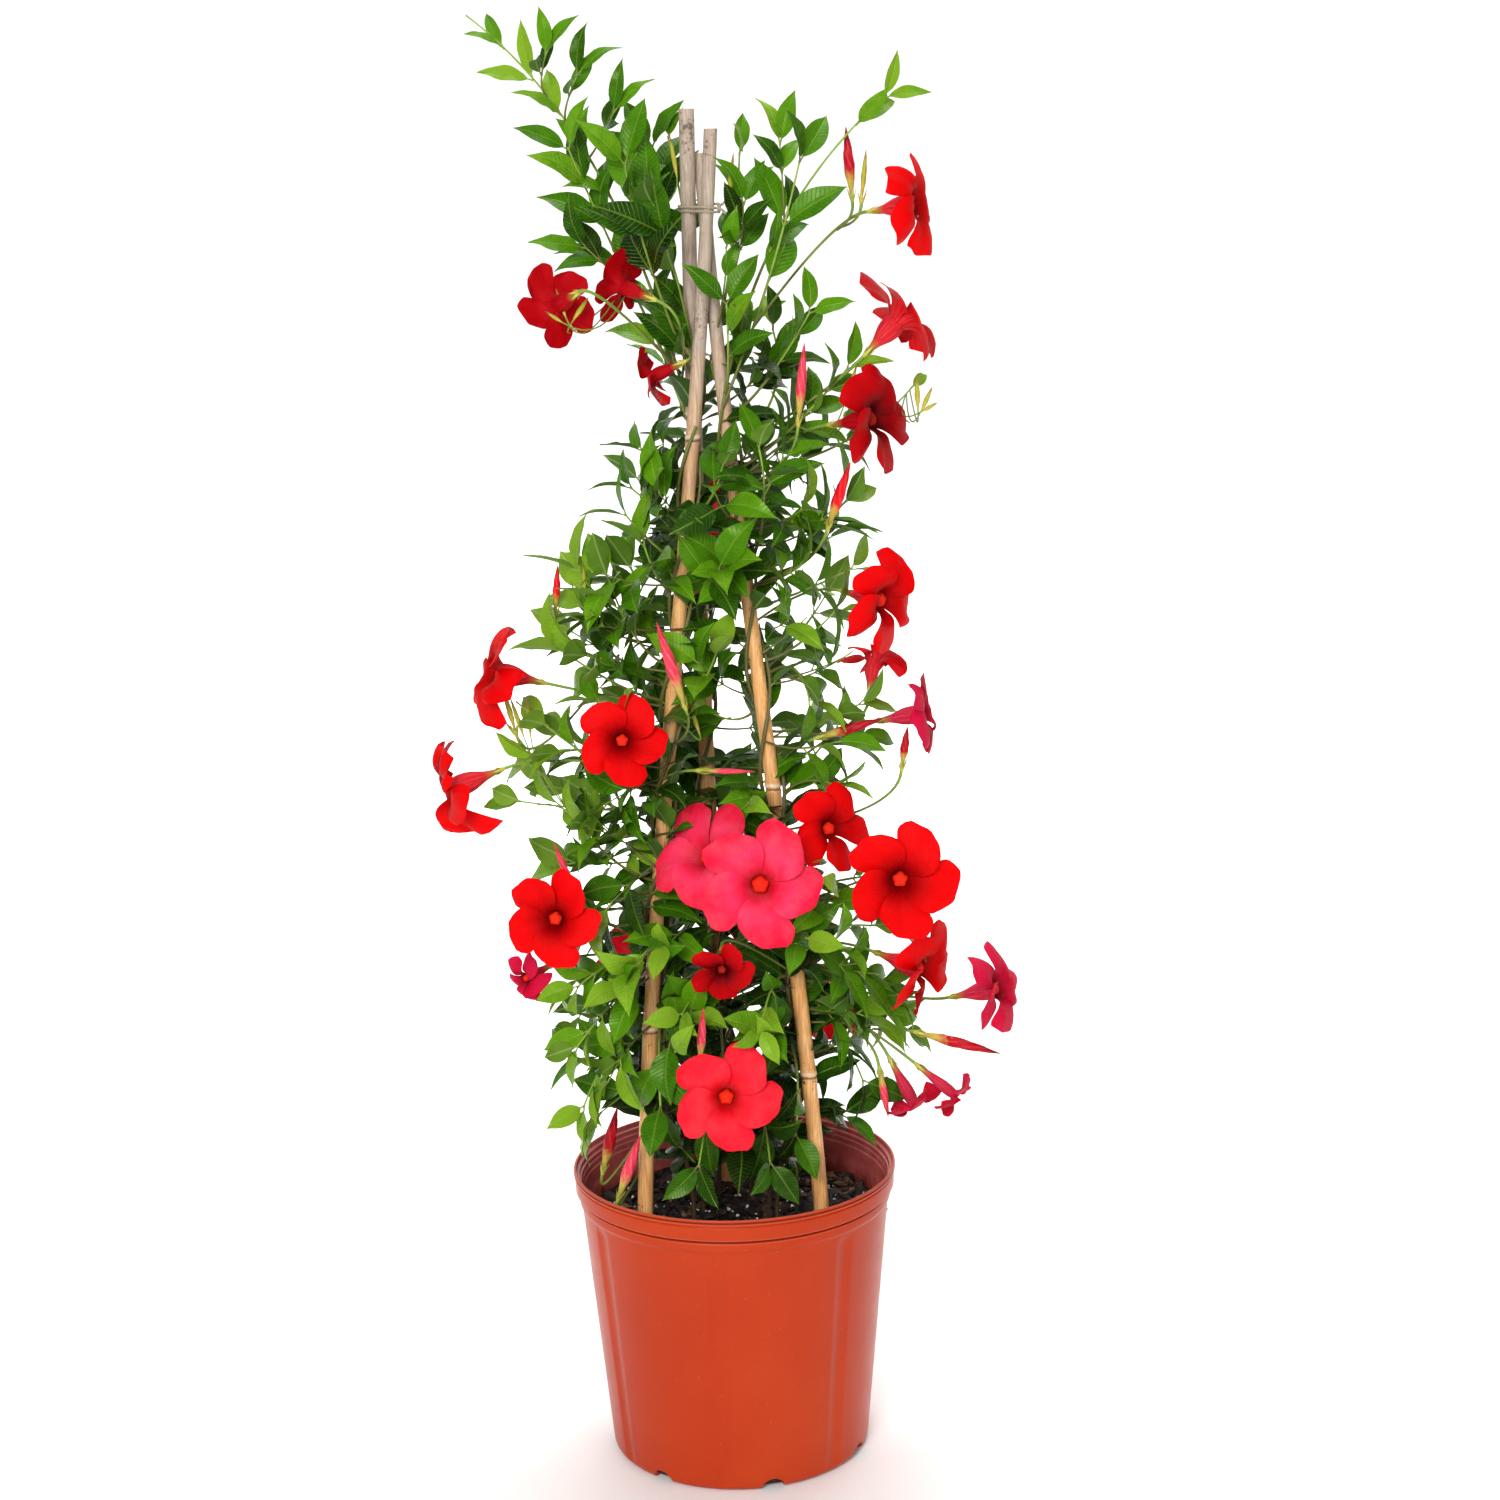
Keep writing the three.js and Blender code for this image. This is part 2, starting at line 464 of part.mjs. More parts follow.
// Two turns of twine drawn tight round the three canes, and the knot that holds them.
function makeTie() {
  const perTurn = 11;
  const slack = 1; // a straight step between two points lies this much inside the curve
  const points = [];
  for (let i = 0; i <= perTurn * TIE_TURNS; i += 1) {
    const angle = (2 * Math.PI * i) / perTurn;
    const outward = new THREE.Vector3(Math.cos(angle), Math.sin(angle), 0);
    const height = TIE_TOP - (TIE_PITCH * i) / perTurn;
    let farthest = null;
    for (const name of Object.keys(CANES)) {
      const reach = caneRadius(name, height) + CLEARANCE + TWINE_RADIUS + slack;
      const point = caneAxis(name, height).addScaledVector(outward, reach);
      if (!farthest || point.dot(outward) > farthest.dot(outward)) {
        farthest = point;
      }
    }
    points.push(farthest);
  }
  const knot = new THREE.IcosahedronGeometry(3.6);
  const knotPlace = points[0].clone().lerp(points[points.length - 1], 0.5);
  knot.scale(0.8, 0.9, 1.35); // taller than it is wide
  knot.translate(knotPlace.x + TWINE_RADIUS + CLEARANCE, knotPlace.y, knotPlace.z);
  return solidOf(tube(new Route(points), TWINE_RADIUS, 3)).add(solidOf(knot));
}

// ---------------------------------------------------------------------------------------------
// Flowers and buds
// ---------------------------------------------------------------------------------------------
// A turn that takes +Z to a direction, and +X as near to level as can be.
function facing(direction) {
  const z = vector(direction).normalize();
  const level = new THREE.Vector3(-z.y, z.x, 0);
  if (level.length() < 0.05) {
    level.set(1, 0, 0);
  }
  const x = level.normalize();
  const y = new THREE.Vector3().crossVectors(z, x);
  return new THREE.Matrix4().makeBasis(x, y, z);
}

// The outline of one petal: share of the flower's width out from its middle, degrees round from
// the petal's own middle, and lift as a share of the width. One side rides over the next petal.
const PETAL = [[0.4, -22, 0.035], [0.5, -5, 0.02], [0.47, 18, -0.01], [0.3, 24, -0.03]];

// One trumpet flower with its face at the origin looking along +Z: tube, throat and five petals.
function makeBloom(width, tubeLength, bendBack, seed) {
  const random = randomFrom(seed);
  const throat = 0.115 * width;
  const neck = [-0.55 * tubeLength, TUBE_BASE + 0.016 * width];
  const rings = [[-tubeLength, TUBE_BASE], neck, [-BLADE, throat], [0, throat]];
  const first = radians(90 + 18 * (random() - 0.5));
  const points = [];
  for (const [height, radius] of rings) {
    for (let i = 0; i < 5; i += 1) {
      const angle = first + radians(72 * i);
      points.push(vector([radius * Math.cos(angle), radius * Math.sin(angle), height]));
    }
  }
  points.push(vector([0, 0, -0.3 * tubeLength]));
  const [under, over, bottom] = [10, 15, 20];
  const triangles = [[0, 2, 1], [0, 3, 2], [0, 4, 3]];
  for (let i = 0; i < 5; i += 1) {
    const j = (i + 1) % 5;
    triangles.push([i, j, j + 5], [i, j + 5, i + 5], [i + 5, j + 5, j + 10], [i + 5, j + 10, i + 10]);
    triangles.push([over + i, over + j, bottom]);
    const from = points.length;
    const tilt = 0.5 + random();
    for (const [share, degrees, lift] of PETAL) {
      const angle = first + radians(72 * i + 36 + degrees);
      const height = width * (lift - 1.6 * bendBack * tilt * share * share);
      const reach = width * share * (1 - 0.5 * bendBack * share);
      const place = vector([reach * Math.cos(angle), reach * Math.sin(angle), height]);
      points.push(place, place.clone().setZ(height - BLADE));
    }
    const [t1, b1, t2, b2, t3, b3, t4, b4] = [0, 1, 2, 3, 4, 5, 6, 7].map((n) => from + n);
    const [ti, tj, bi, bj] = [over + i, over + j, under + i, under + j];
    triangles.push([ti, t1, t4], [ti, t4, tj], [t1, t2, t4], [t2, t3, t4]);
    triangles.push([bi, b4, b1], [bi, bj, b4], [b1, b4, b2], [b2, b4, b3]);
    const edge = [[ti, bi], [t1, b1], [t2, b2], [t3, b3], [t4, b4], [tj, bj]];
    for (let k = 0; k < 5; k += 1) {
      const [[ta, ba], [tb, bb]] = [edge[k], edge[k + 1]];
      triangles.push([ba, bb, tb], [ba, tb, ta]);
    }
  }
  return facets(points, triangles);
}

// A furled bud standing on the origin along +Z, narrow at its base and pointed.
function makeBud(length, radius) {
  const outline = [[0, 0], [0.38, 0], [1, 0.42], [0.62, 0.75], [0, 1]];
  const profile = outline.map(([out, up]) => new THREE.Vector2(out * radius, up * length));
  const geometry = new THREE.LatheGeometry(profile, 5);
  return geometry.rotateX(Math.PI / 2);
}

// ---------------------------------------------------------------------------------------------
// Vines: twining stems, side shoots, leaves, flower stalks and calyces
// ---------------------------------------------------------------------------------------------
// A main stem: straight up out of its hole, then over to its cane and round it to the top.
function stemRoute(vine) {
  const [x, y] = vine.hole;
  const start = SOIL_TOP + 9;
  const stepHeight = 20;
  const points = [vector([x, y, SOIL_TOP - STEM_DEPTH]), vector([x, y, start])];
  const steps = Math.round((vine.top - start) / stepHeight);
  for (let i = 1; i <= steps; i += 1) {
    const z = start + ((vine.top - start) * i) / steps;
    const share = THREE.MathUtils.smoothstep(z, start, vine.joins);
    const angle = radians(vine.angle) + (2 * Math.PI * z) / TWIST_PITCH;
    const outward = new THREE.Vector3(Math.cos(angle), Math.sin(angle), 0);
    const onCane = caneAxis(vine.cane, z).addScaledVector(outward, caneRadius(vine.cane, z) + TWIST_GAP);
    points.push(new THREE.Vector3(x, y, z).lerp(onCane, share));
  }
  return new Route(points);
}

const vineNamed = (name) => VINES.find((vine) => vine.name === "vine_" + name);

// The point on a route at a height, for a route that only climbs.
function atHeight(route, z) {
  const { points } = route;
  let i = 0;
  while (i < points.length - 2 && points[i + 1].z < z) {
    i += 1;
  }
  const share = (z - points[i].z) / (points[i + 1].z - points[i].z);
  return points[i].clone().lerp(points[i + 1], share);
}

// A route along the curve of a bend, in even steps.
function bentRoute(start, bend, tip, steps) {
  const curve = new THREE.QuadraticBezierCurve3(start, bend, tip);
  return new Route(curve.getPoints(steps));
}

// The ways a leaf may turn out of another's way: radians round its stem, and radians of spread.
const LEAF_TURNS = [
  [0, 0], [0.4, 0], [-0.4, 0], [0, -0.3], [0.8, 0], [-0.8, 0], [0.4, -0.35], [-0.4, -0.35],
  [1.2, 0], [-1.2, 0], [1.6, -0.2], [-1.6, -0.2], [0, 0.35], [2.2, 0], [-2.2, 0],
];

// The place of one leaf as a matrix: +X along it, +Z out of its upper face, origin in its stem.
function leafPlace(route, share, pair, side, age, turn, random) {
  const at = route.getPoint(share);
  const along = route.getTangent(Math.min(Math.max(share, 0.01), 0.99));
  const outward = new THREE.Vector3(at.x, at.y, 0).normalize();
  const across = new THREE.Vector3().crossVectors(along, outward);
  if (across.length() < 0.2) {
    across.crossVectors(along, UP);
  }
  across.normalize();
  const upward = new THREE.Vector3().crossVectors(across, along);
  const round = 0.3 + LEAF.turnOfPair * (pair % 2) + Math.PI * side + 0.5 * (random() - 0.5) + turn[0];
  const high = THREE.MathUtils.clamp((at.z - LEAF.frontFrom) / LEAF.frontOver, 0, 1);
  const opened = LEAF.spreadWithAge * age * (1 - 0.5 * high);
  const spread = LEAF.spread + opened + 0.25 * (random() - 0.5) + turn[1];
  const droop = LEAF.droop * age * random();
  const sideways = across.multiplyScalar(Math.cos(round)).addScaledVector(upward, Math.sin(round));
  const x = along.clone().multiplyScalar(Math.cos(spread)).addScaledVector(sideways, Math.sin(spread));
  x.z -= droop;
  x.normalize();
  const sky = outward.clone().multiplyScalar(0.75).addScaledVector(UP, 0.65);
  const front = outward.multiplyScalar(0.3).add(new THREE.Vector3(0, -0.85, 0.4));
  const light = sky.lerp(front, high).normalize();
  const z = along.multiplyScalar(Math.sin(spread)).addScaledVector(sideways, -Math.cos(spread));
  z.lerp(light, LEAF.towardsLight + LEAF.towardsFront * high);
  z.addScaledVector(x, -z.dot(x)).normalize();
  const y = new THREE.Vector3().crossVectors(z, x);
  return new THREE.Matrix4().makeBasis(x, y, z).setPosition(at);
}

// A leaf blade lying along +X, arched, pointed at both ends. Grown by a margin, and begun past its
// stem, it serves to feel for neighbours.
function makeLeaf(length, margin = 0) {
  const half = (LEAF.width * length) / 2 + margin;
  const root = margin > 0 ? 5 : 0;
  const pairs = length < LEAF.plainUnder ? [[0.5 * length, half, 0.05 * length]]
    : [[0.34 * length, 0.94 * half, 0.06 * length], [0.68 * length, 0.84 * half, 0.05 * length]];
  return blade(length + margin, root, pairs, BLADE + 2 * margin);
}

// Everything placed so far, so that each new piece can be kept clear of it.
const placed = [];

function remember(solid, owner) {
  placed.push({ solid, owner, box: solid.boundingBox() });
}

// The owner of the first placed piece that a solid cuts into, or undefined.
function cutsInto(solid, ignored = []) {
  const { min, max } = solid.boundingBox();
  const near = ({ box }) => [0, 1, 2].every((k) => box.min[k] <= max[k] && box.max[k] >= min[k]);
  const cut = (other) => solid.intersect(other.solid).volume() > 1e-6;
  return placed.find((other) => !ignored.includes(other.owner) && near(other) && cut(other))?.owner;
}

// Places a solid, which may touch only the pieces that it grows from.
function place(solid, owner, growsFrom = []) {
  const other = cutsInto(solid, growsFrom);
  if (other) {
    throw new Error(`${owner} cuts into ${other}`);
  }
  remember(solid, owner);
}

// Grows the leaves of one shoot that the solid model keeps: the pair at its tip, then the pair before
// it. A leaf with no clear way to lie is left out.
function growLeaves({ vine, route, row, index }) {
  const [, , , , pairs, length, kept, until = LEAF.lastPair] = row;
  const sides = [0, 1];
  const tipPair = sides.map((side) => [pairs - 1, side]);
  const nextPair = sides.map((side) => [pairs - 2, (index + side) % 2]);
  let grown = 0;
  for (const [pair, side] of [...tipPair, ...nextPair]) {
    if (grown === kept) {
      break;
    }
    const share = LEAF.firstPair + ((until - LEAF.firstPair) * (pair + 1)) / pairs;
    const age = 1 - pair / (pairs - 1);
    const size = length * (pair === pairs - 1 ? LEAF.tipSize : 1);
    for (const turn of LEAF_TURNS) {
      const random = randomFrom(index * 977 + pair * 131 + side * 17 + 5);
      const where = leafPlace(route, share, pair, side, age, turn, random);
      const feeler = solidOf(makeLeaf(size, LEAF.feelers).applyMatrix4(where));
      if (!cutsInto(feeler, ["shoot_" + index])) {
        const leaf = solidOf(makeLeaf(size).applyMatrix4(where));
        remember(leaf, "leaf_" + index);
        vine.solid = vine.solid.add(leaf);
        grown += 1;
        break;
      }
    }
  }
}

// Grows a shoot's or stalk's stem out of its vine.
function growStem(vine, route, radius, owner, growsFrom) {
  const solid = solidOf(tube(route, radius, 3));
  place(solid, owner, growsFrom);
  vine.solid = vine.solid.add(solid);
}

// ---------------------------------------------------------------------------------------------
// The plant put together
// ---------------------------------------------------------------------------------------------
function addPiece(name, solid, colour, roughness) {
  place(solid, name);
  addNode(name, solid, colour, roughness);
}

addPiece("pot", makePot(), "pot", 0.42);
addPiece("tie", makeTie(), "twine", 0.9);
const caneNames = Object.keys(CANES);
for (const name of caneNames) {
  addPiece("cane_" + name, makeCane(name), "cane", 0.55);
}

function stemHole([x, y]) {
  const height = STEM_DEPTH + 12;
  const radius = STEM_RADIUS + 2 * CLEARANCE;
  const hole = new THREE.CylinderGeometry(radius, radius, height, 6);
  hole.rotateX(Math.PI / 2);
  hole.translate(x, y, SOIL_TOP - STEM_DEPTH - CLEARANCE + height / 2);
  return solidOf(hole);
}

const caneHoles = caneNames.map((name) => makeCane(name, CLEARANCE));
const stemHoles = VINES.map((vine) => stemHole(vine.hole));
addPiece("soil", makeSoil([...caneHoles, ...stemHoles]), "soil", 0.95);
for (const vine of VINES) {
  vine.route = stemRoute(vine);
  vine.solid = solidOf(tube(vine.route, STEM_RADIUS, 3));
  place(vine.solid, vine.name);
}

// Flowers and buds. Each grows at the end of a stalk, a hair above its calyx.
const flowers = [];

BLOOMS.forEach(([name, face, direction, width, length, colour, bendBack, from], index) => {
  const where = facing(direction).setPosition(vector(face));
  const foot = vector(face).addScaledVector(vector(direction).normalize(), -length);
  const solid = solidOf(makeBloom(width, length, bendBack, 41 + index).applyMatrix4(where));
  addPiece(name, solid, colour, 0.5);
  flowers.push({ name, foot, direction, from });
});
BUDS.forEach(([name, base, tip, radius, colour, from]) => {
  const direction = vector(tip).sub(vector(base)).toArray();
  const where = facing(direction).setPosition(vector(base));
  const solid = solidOf(makeBud(vector(direction).length(), radius).applyMatrix4(where));
  addPiece(name, solid, colour, 0.5);
  flowers.push({ name, foot: vector(base), direction, from });
});

// A stalk up to the foot of a flower or bud, ending in its calyx.
const stalks = new Map();

function growStalk({ name, foot, direction, from }) {
  const forward = vector(direction).normalize();
  const cup = foot.clone().addScaledVector(forward, -CLEARANCE);
  const end = cup.clone().addScaledVector(forward, -CALYX_LENGTH);
  const parent = stalks.get(from[0]);
  const vine = parent ? parent.vine : vineNamed(from[0]);
  const start = parent ? parent.route.getPoint(from[1]) : atHeight(vine.route, from[1]);
  const reach = Math.min(1, start.distanceTo(end) / 70);
  const bend = end.clone().addScaledVector(forward, -STALK_BEND * reach);
  const route = bentRoute(start, bend, end, 3);
  stalks.set(name, { vine, route });
  growStem(vine, route, STALK_RADIUS, "stalk_" + name, [vine.name, "stalk_" + from[0]]);
  const height = CALYX_LENGTH + 1.5; // its point is sunk in the stalk
  const calyx = new THREE.ConeGeometry(CALYX_RADIUS, height, 3);
  calyx.rotateX(-Math.PI / 2);
  calyx.translate(0, 0, -height / 2);
  calyx.applyMatrix4(facing(direction).setPosition(cup));
  const solid = solidOf(calyx);
  place(solid, "stalk_" + name, ["stalk_" + name, vine.name]);
  vine.solid = vine.solid.add(solid);
}

flowers.forEach(growStalk);

// Side shoots first, then their leaves, so that a leaf turns out of the way of every shoot.
const shoots = SHOOTS.map((row, index) => {
  const [from, height, bend, tip] = row;
  const vine = vineNamed(from);
  const start = atHeight(vine.route, height);
  const reach = start.distanceTo(vector(tip));
  let steps = 2;
  if (reach > LONG_REACH) {
    steps = 6;
  } else if (reach > LONG_REACH / 2) {
    steps = 3;
  }
  const route = bentRoute(start, vector(bend), vector(tip), steps);
  growStem(vine, route, SHOOT_RADIUS, "shoot_" + index, [vine.name]);
  return { vine, route, row, index };
});
shoots.forEach(growLeaves);

for (const vine of VINES) {
  addNode(vine.name, vine.solid, "leaves", 0.45);
}

export default nodes;
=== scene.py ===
import math
import random

import bmesh
import bpy
import numpy as np
from mathutils import Matrix, Vector, noise
from mathutils.bvhtree import BVHTree
from mathutils.kdtree import KDTree


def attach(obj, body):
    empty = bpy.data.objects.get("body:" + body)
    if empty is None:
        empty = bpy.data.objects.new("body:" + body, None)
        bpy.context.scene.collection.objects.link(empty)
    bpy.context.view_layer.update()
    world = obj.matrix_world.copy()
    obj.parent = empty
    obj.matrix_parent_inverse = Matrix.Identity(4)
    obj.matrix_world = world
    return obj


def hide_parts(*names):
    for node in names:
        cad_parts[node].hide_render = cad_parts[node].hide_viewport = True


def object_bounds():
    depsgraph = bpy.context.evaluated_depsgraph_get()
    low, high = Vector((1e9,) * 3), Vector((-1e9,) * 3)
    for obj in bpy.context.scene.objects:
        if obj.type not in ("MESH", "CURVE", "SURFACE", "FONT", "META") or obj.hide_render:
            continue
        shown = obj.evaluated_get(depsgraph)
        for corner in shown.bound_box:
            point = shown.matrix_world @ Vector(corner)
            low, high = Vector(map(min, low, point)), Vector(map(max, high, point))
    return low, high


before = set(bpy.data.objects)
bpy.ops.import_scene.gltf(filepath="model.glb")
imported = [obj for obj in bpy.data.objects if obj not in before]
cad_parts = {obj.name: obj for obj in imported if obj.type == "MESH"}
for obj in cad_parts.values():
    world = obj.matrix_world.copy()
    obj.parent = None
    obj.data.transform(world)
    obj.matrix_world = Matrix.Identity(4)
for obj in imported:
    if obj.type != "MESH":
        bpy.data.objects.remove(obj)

cad_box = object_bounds()

# ----------------------------------------------------------
# The pot: a thin-walled nursery pot in terracotta polypropylene, injection moulded in one shot.
# Its wall has seven shallow upright flutes, a double band carries the rolled rim, and half-round
# notches in the heel let water out.
RIM_TOP = 257.4  # millimetres, as every size here but those of shaders, lamps and camera
RIM_RADIUS = 140.0
HEEL_TOP, BODY_TOP = 6.5, 226.0
HEEL_RADIUS, BODY_RADIUS = 113.0, 133.6
WALL = 2.1
FLUTES, FIRST_FLUTE, FLUTE_DEPTH, FLUTE_HALF = 7, -98.0, 2.0, 4.0
NOTCH_RADIUS, NOTCH_REACH, NOTCH_LENGTH = 10.8, 112.0, 24.0
NOTCH_AFTER_FLUTE = 21.5  # degrees


def linear(colour):
    """An sRGB hex colour as the linear numbers that a shader takes."""
    parts = [int(colour[i:i + 2], 16) / 255 for i in (1, 3, 5)]
    return [p / 12.92 if p <= 0.04045 else ((p + 0.055) / 1.055) ** 2.4 for p in parts] + [1.0]


def add(tree, kind, sockets=(), stops=(), **settings):
    """Adds a shader node with settings, a ramp's stops, and values, sockets or nodes to link to it."""
    made = tree.nodes.new("ShaderNode" + kind)
    for name, value in settings.items():
        setattr(made, name, value)
    for name, value in dict(sockets).items():
        if isinstance(value, bpy.types.Node):
            value = value.outputs[0]
        if isinstance(value, bpy.types.NodeSocket):
            tree.links.new(value, made.inputs[name])
        else:
            made.inputs[name].default_value = value
    for index, (place, colour) in enumerate(stops):
        if index > 1:
            made.color_ramp.elements.new(place)
        made.color_ramp.elements[index].position = place
        made.color_ramp.elements[index].color = linear(colour)
    return made


def start_material(name):
    """A material with nothing in its tree but the output, and that output."""
    material = bpy.data.materials.new(name)
    material.use_nodes = True
    material.node_tree.nodes.clear()
    return material, material.node_tree, add(material.node_tree, "OutputMaterial")


def make_piece(name, points, faces, materials, face_materials=None, marks=None, sharp=40):
    """A smooth mesh from points in millimetres, with a number per point for each name in marks."""
    mesh = bpy.data.meshes.new(name)
    mesh.from_pydata((np.asarray(points, float) / 1000).tolist(), [], faces)
    for material in materials:
        mesh.materials.append(material)
    if face_materials is not None:
        mesh.polygons.foreach_set("material_index", np.asarray(face_materials, np.int32))
    for key, values in (marks or {}).items():
        made = mesh.attributes.new(key, "FLOAT", "POINT")
        made.data.foreach_set("value", np.asarray(values, np.float32))
    mesh.polygons.foreach_set("use_smooth", np.ones(len(mesh.polygons), bool))
    mesh.set_sharp_from_angle(angle=math.radians(sharp))
    mesh.update()
    piece = bpy.data.objects.new(name, mesh)
    bpy.context.scene.collection.objects.link(piece)
    return piece


def soften(corners):
    """A profile of (radius, height, fillet) with each corner rounded over its fillet."""
    line = []
    for i, (radius, height, fillet) in enumerate(corners):
        here = Vector((radius, height))
        if not fillet:
            line.append(here)
            continue
        before = Vector(corners[i - 1][:2]) - here
        after = Vector(corners[i + 1][:2]) - here
        start = here + before.normalized() * min(fillet, before.length / 2)
        end = here + after.normalized() * min(fillet, after.length / 2)
        for t in (0, 0.25, 0.5, 0.75, 1):
            line.append(start * (1 - t) ** 2 + here * 2 * t * (1 - t) + end * t * t)
    return [(point.x, point.y) for point in line]


def flute_sink(angle, height):
    """How far the wall is drawn in by a flute: a rounded groove that dies out at both ends."""
    spacing = 360 / FLUTES
    off = (math.degrees(angle) - FIRST_FLUTE + spacing / 2) % spacing - spacing / 2
    if abs(off) > FLUTE_HALF or not HEEL_TOP - 3 < height < BODY_TOP:
        return 0.0
    ends = min((height - HEEL_TOP + 3) / 6, (BODY_TOP - height) / 9, 1.0)
    across = 1 - abs(off / FLUTE_HALF) ** 1.6
    return FLUTE_DEPTH * across * ends * ends * (3 - 2 * ends)


def turned(profile, columns, sink=None):
    """Points and faces of a turned form. A profile point on the axis becomes one point."""
    points, faces, rings = [], [], []
    for radius, height in profile:
        if radius < 0.01:
            rings.append([len(points)] * columns)
            points.append((0, 0, height))
            continue
        rings.append(range(len(points), len(points) + columns))
        for c in range(columns):
            angle = 2 * math.pi * c / columns
            out = radius - (sink(angle, height) if sink and radius > HEEL_RADIUS - 6 else 0)
            points.append((out * math.cos(angle), out * math.sin(angle), height))
    for low, high in zip(rings, rings[1:]):
        for c in range(columns):
            d = (c + 1) % columns
            face = (low[c], low[d], high[d], high[c])
            faces.append(tuple(dict.fromkeys(face)))
    return points, faces


def wall_radius(height):
    """Outer radius of the plain wall."""
    return HEEL_RADIUS + (BODY_RADIUS - HEEL_RADIUS) * (height - HEEL_TOP) / (BODY_TOP - HEEL_TOP)


wall_steps = [9, 12, 20, 60, 110, 160, 200, 212, 216, 219, 222, 224]
outside = [(0, 1.0, 0), (60, 1.0, 0), (98, 1.0, 1), (100, 0, 0.6), (106.5, 0, 2.2), (112.4, 3.5, 3.0)]
outside += [(wall_radius(h), h, 0) for h in wall_steps]
outside += [(BODY_RADIUS, BODY_TOP, 1.2), (135.5, 228.4, 1.2), (135.6, 235.0, 0.8), (133.8, 235.8, 0.3)]
outside += [(133.8, 238.0, 0.3), (138.8, 238.5, 0.9), (139.2, 250.2, 0.6), (138.2, 250.9, 0.3)]
outside += [(138.2, 251.7, 0.3), (RIM_RADIUS, 252.3, 0.5), (RIM_RADIUS, 254.2, 0.3), (139.3, 254.5, 0.1)]
outside += [(139.3, 255.2, 0.1), (RIM_RADIUS, 255.5, 0.3), (RIM_RADIUS, 256.7, 0.7),
            (139.3, RIM_TOP - 0.1, 0.5)]
inside = [(137.8, RIM_TOP, 0.8), (137.2, 253.2, 0.8), (135.0, 252.2, 0.5), (134.9, 248.6, 0.6),
          (133.3, 247.6, 0.5)]
inside += [(133.2, 244.0, 0.6), (132.4, 242.8, 0.5), (132.3, 238.6, 0.6), (131.5, 237.4, 0.5)]
inside += [(wall_radius(BODY_TOP) - WALL, BODY_TOP, 1.0)]
inside += [(wall_radius(h) - WALL, h, 0) for h in reversed(wall_steps)]
inside += [(107.5, 3.4, 3.0), (60, 3, 0), (0, 3, 0)]
pot_profile = soften(outside + inside)
crest = max(range(len(pot_profile)), key=lambda i: pot_profile[i][1])
POT_COLUMNS = 420
pot_points, pot_faces = turned(pot_profile, POT_COLUMNS, flute_sink)
pot_lining = [i >= crest + 2 for i in range(len(pot_profile) - 1) for _ in range(POT_COLUMNS)]

# Moulded polypropylene, a little faded: even terracotta with a soft sheen, faint cloudiness where
# the melt flowed, handling scuffs that dull the gloss, and a fine orange-peel skin.
pot_plastic, tree, out = start_material("polypropylene_moulded_terracotta")
where = add(tree, "TexCoord").outputs["Object"]
clouds = add(tree, "TexNoise", {"Vector": where, "Scale": 7, "Detail": 3, "Roughness": 0.5})
shade = add(tree, "ValToRGB", {"Fac": clouds}, [(0.25, "#a92f0a"), (0.5, "#b1350d"), (0.8, "#b83f16")])
scuffs = add(tree, "TexNoise", {"Vector": where, "Scale": 60, "Detail": 6, "Roughness": 0.7})
dull = add(tree, "MapRange", {"Value": scuffs, 1: 0.4, 2: 0.75, 3: 0.3, 4: 0.38})
specks = add(tree, "TexNoise", {"Vector": where, "Scale": 420, "Detail": 2})
chalk = add(tree, "MapRange", {"Value": specks, 1: 0.7, 2: 0.8, 3: 0.0, 4: 0.25})
dusted = add(tree, "Mix", {"Factor": chalk, 6: shade, 7: linear("#e2937a")}, data_type="RGBA")
# Dark lines are painted into the grooves of the rim bands as shade.
height = add(tree, "SeparateXYZ", {"Vector": where}).outputs[2]
band = add(tree, "MapRange", {"Value": height, 1: 0.2255, 2: 0.258})
painted_groove_shade = add(tree, "ValToRGB", {"Fac": band}, [
    (0.298, "#000000"), (0.318, "#d0d0d0"), (0.372, "#ffffff"), (0.394, "#000000"), (0.87, "#000000"),
    (0.889, "#e0e0e0"), (0.914, "#e0e0e0"), (0.932, "#000000")])
# Paler lines are painted along the bands' edges as highlights.
painted_edge_highlights = add(tree, "ValToRGB", {"Fac": band}, [
    (0.262, "#000000"), (0.282, "#808080"), (0.298, "#000000"), (0.4, "#000000"), (0.415, "#808080"),
    (0.44, "#000000"), (0.83, "#000000"), (0.85, "#707070"), (0.87, "#000000"), (0.95, "#000000"),
    (0.985, "#a0a0a0")])
lined = add(tree, "Mix", {"Factor": painted_groove_shade, 6: dusted.outputs[2], 7: linear("#521306")}, data_type="RGBA")
edged = add(tree, "Mix", {"Factor": painted_edge_highlights, 6: lined.outputs[2], 7: linear("#e88a6c")}, data_type="RGBA")
skin = add(tree, "TexNoise", {"Vector": where, "Scale": 900, "Detail": 2})
peel = add(tree, "Bump", {"Height": skin, "Strength": 0.25, "Distance": 0.0002})
plastic = add(tree, "BsdfPrincipled", {
    "Base Color": edged.outputs[2], "Roughness": dull, "Normal": peel, "IOR": 1.49,
    "Specular IOR Level": 0.18, "Subsurface Weight": 0.08,
    "Subsurface Radius": (0.004, 0.0015, 0.0008), "Subsurface Scale": 0.5})
tree.links.new(plastic.outputs[0], out.inputs[0])
